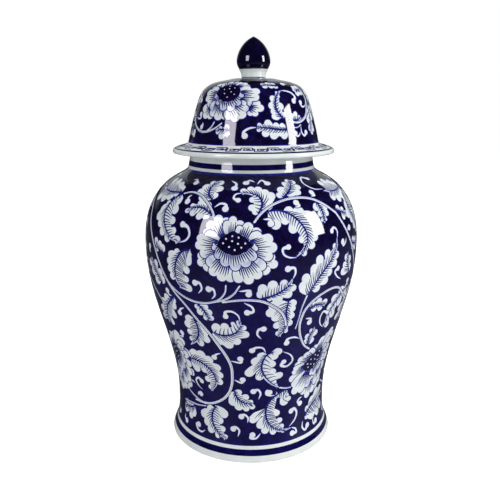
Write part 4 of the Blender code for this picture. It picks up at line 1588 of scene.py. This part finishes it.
def surroundings():
    """A dark room with white paper low behind the jar, which the glaze mirrors, and a tent for the colours.

    The camera itself sees plain white.
    """
    world = bpy.data.worlds.new("studio_surroundings")
    bpy.context.scene.world = world
    world.use_nodes = True
    tree = world.node_tree
    tree.nodes.clear()
    direction = add_node(tree, "ShaderNodeTexCoord").outputs["Generated"]
    split = add_node(tree, "ShaderNodeSeparateXYZ", (), [("Vector", direction)]).outputs
    behind = add_node(tree, "ShaderNodeMapRange",
                      [("interpolation_type", "SMOOTHSTEP"), ("From Min", 0.6), ("From Max", 0.9)],
                      [("Value", split["Y"])])
    above = add_node(tree, "ShaderNodeMapRange",
                     [("interpolation_type", "SMOOTHSTEP"), ("From Min", 0.06), ("From Max", 0.16)],
                     [("Value", split["Z"])])
    backdrop = add_node(tree, "ShaderNodeMath", [("operation", "MULTIPLY")],
                        [(0, behind.outputs["Result"]), (1, above.outputs["Result"])])
    tone = add_node(tree, "ShaderNodeValToRGB",
                    [("stops", [(0.0, srgb("282a30")), (1.0, srgb("c4c8cc"))])],
                    [("Fac", backdrop.outputs["Value"])])
    room = add_node(tree, "ShaderNodeBackground", [("Strength", 1.0)], [("Color", tone.outputs["Color"])])
    ray = add_node(tree, "ShaderNodeLightPath").outputs
    mirrored = add_node(tree, "ShaderNodeMath",
                        [("operation", "MINIMUM"), (1, 1.0)], [(0, ray["Glossy Depth"])])
    tent_light = add_node(tree, "ShaderNodeMath",
                          [("operation", "MULTIPLY_ADD"),
                           (1, MIRRORED_TENT_LIGHT - TENT_LIGHT), (2, TENT_LIGHT)],
                          [(0, mirrored.outputs["Value"])])
    tent = add_node(tree, "ShaderNodeBackground",
                    [("Color", WHITE)], [("Strength", tent_light.outputs["Value"])])
    plain = add_node(tree, "ShaderNodeBackground", [("Color", WHITE), ("Strength", 1.0)])
    lit = add_node(tree, "ShaderNodeMixShader", (),
                   [(0, ray["Is Diffuse Ray"]), (1, room.outputs[0]), (2, tent.outputs[0])])
    mixed = add_node(tree, "ShaderNodeMixShader", (),
                     [(0, ray["Is Camera Ray"]), (1, lit.outputs[0]), (2, plain.outputs[0])])
    add_node(tree, "ShaderNodeOutputWorld", (), [("Surface", mixed.outputs[0])])


def floor_paper(colour):
    """Matt white paper. The glaze mirrors it as a grey, as it would the shaded paper close to the jar."""
    material = bpy.data.materials.new("matt_white_paper")
    material.use_nodes = True
    tree = material.node_tree
    shader = tree.nodes["Principled BSDF"]
    shader.inputs["Roughness"].default_value = 0.6
    shader.inputs["Emission Color"].default_value = WHITE
    ray = add_node(tree, "ShaderNodeLightPath").outputs
    glow = add_node(tree, "ShaderNodeMath",
                    [("operation", "MULTIPLY"), (1, FLOOR_GLOW)], [(0, ray["Is Camera Ray"])])
    tree.links.new(glow.outputs["Value"], shader.inputs["Emission Strength"])
    shade = add_node(tree, "ShaderNodeMix",
                     [("data_type", "RGBA"), (6, (*colour, 1.0)), (7, (*srgb("7e7e88"), 1.0))],
                     [(0, ray["Is Glossy Ray"])])
    tree.links.new(shade.outputs[2], shader.inputs["Base Color"])
    return material


def stand_camera(studio):
    """The camera, looking level from side to side and a little down at the jar."""
    camera = bpy.data.objects.new("camera", bpy.data.cameras.new("camera"))
    camera.data.lens = studio.lens
    camera.data.sensor_width = SENSOR_WIDTH
    camera.data.clip_start = 0.01
    camera.location = studio.camera_place
    camera.rotation_euler = (pi / 2 - studio.camera_pitch, 0.0, 0.0)
    bpy.context.scene.collection.objects.link(camera)
    bpy.context.scene.camera = camera


class GINGERJAR_OT_studio(bpy.types.Operator):
    """Set out the pale floor, the soft lights and the camera"""
    bl_idname = "gingerjar.studio"
    bl_label = "Studio"

    def execute(self, context):
        """Build the stage."""
        studio = context.scene.ginger_jar_studio
        bpy.ops.object.select_all(action="DESELECT")
        bpy.ops.mesh.primitive_circle_add(vertices=96, radius=FLOOR_R, fill_type="NGON")
        floor = context.object
        floor.name = "studio_floor"
        floor.data.materials.append(floor_paper(studio.paper))
        for lamp in LAMPS:
            softbox(*lamp)
        surroundings()
        stand_camera(studio)
        context.scene.view_settings.view_transform = "Standard"
        return {"FINISHED"}


STEPS = (GINGERJAR_OT_vessel, GINGERJAR_OT_vessel_bands, GINGERJAR_OT_vessel_painting, GINGERJAR_OT_lid,
         GINGERJAR_OT_lid_bands, GINGERJAR_OT_lid_painting, GINGERJAR_OT_knob, GINGERJAR_OT_studio)


class GINGERJAR_PT_panel(bpy.types.Panel):
    """The jar's steps in the sidebar"""
    bl_idname = "GINGERJAR_PT_panel"
    bl_label = "Ginger jar"
    bl_space_type = "VIEW_3D"
    bl_region_type = "UI"
    bl_category = "Ginger jar"

    def draw(self, context):
        """List the settings and the steps in order."""
        for group in (context.scene.ginger_jar, context.scene.ginger_jar_studio):
            for name in group.__annotations__:
                self.layout.prop(group, name)
        for step in STEPS:
            self.layout.operator(step.bl_idname)


CLASSES = (GingerJarLooks, GingerJarStudio, *STEPS, GINGERJAR_PT_panel)


def register():
    """Add the classes and their settings to Blender."""
    for cls in CLASSES:
        bpy.utils.register_class(cls)
    bpy.types.Scene.ginger_jar = bpy.props.PointerProperty(type=GingerJarLooks)
    bpy.types.Scene.ginger_jar_studio = bpy.props.PointerProperty(type=GingerJarStudio)


def unregister():
    """Take them away again."""
    del bpy.types.Scene.ginger_jar_studio
    del bpy.types.Scene.ginger_jar
    for cls in reversed(CLASSES):
        bpy.utils.unregister_class(cls)


def main():
    """Register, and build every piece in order."""
    register()
    for step in STEPS:
        group, name = step.bl_idname.split(".")
        result = getattr(getattr(bpy.ops, group), name)()
        if result != {"FINISHED"}:
            raise RuntimeError(f"{step.bl_idname} did not finish")


if __name__ == "__main__":
    main()
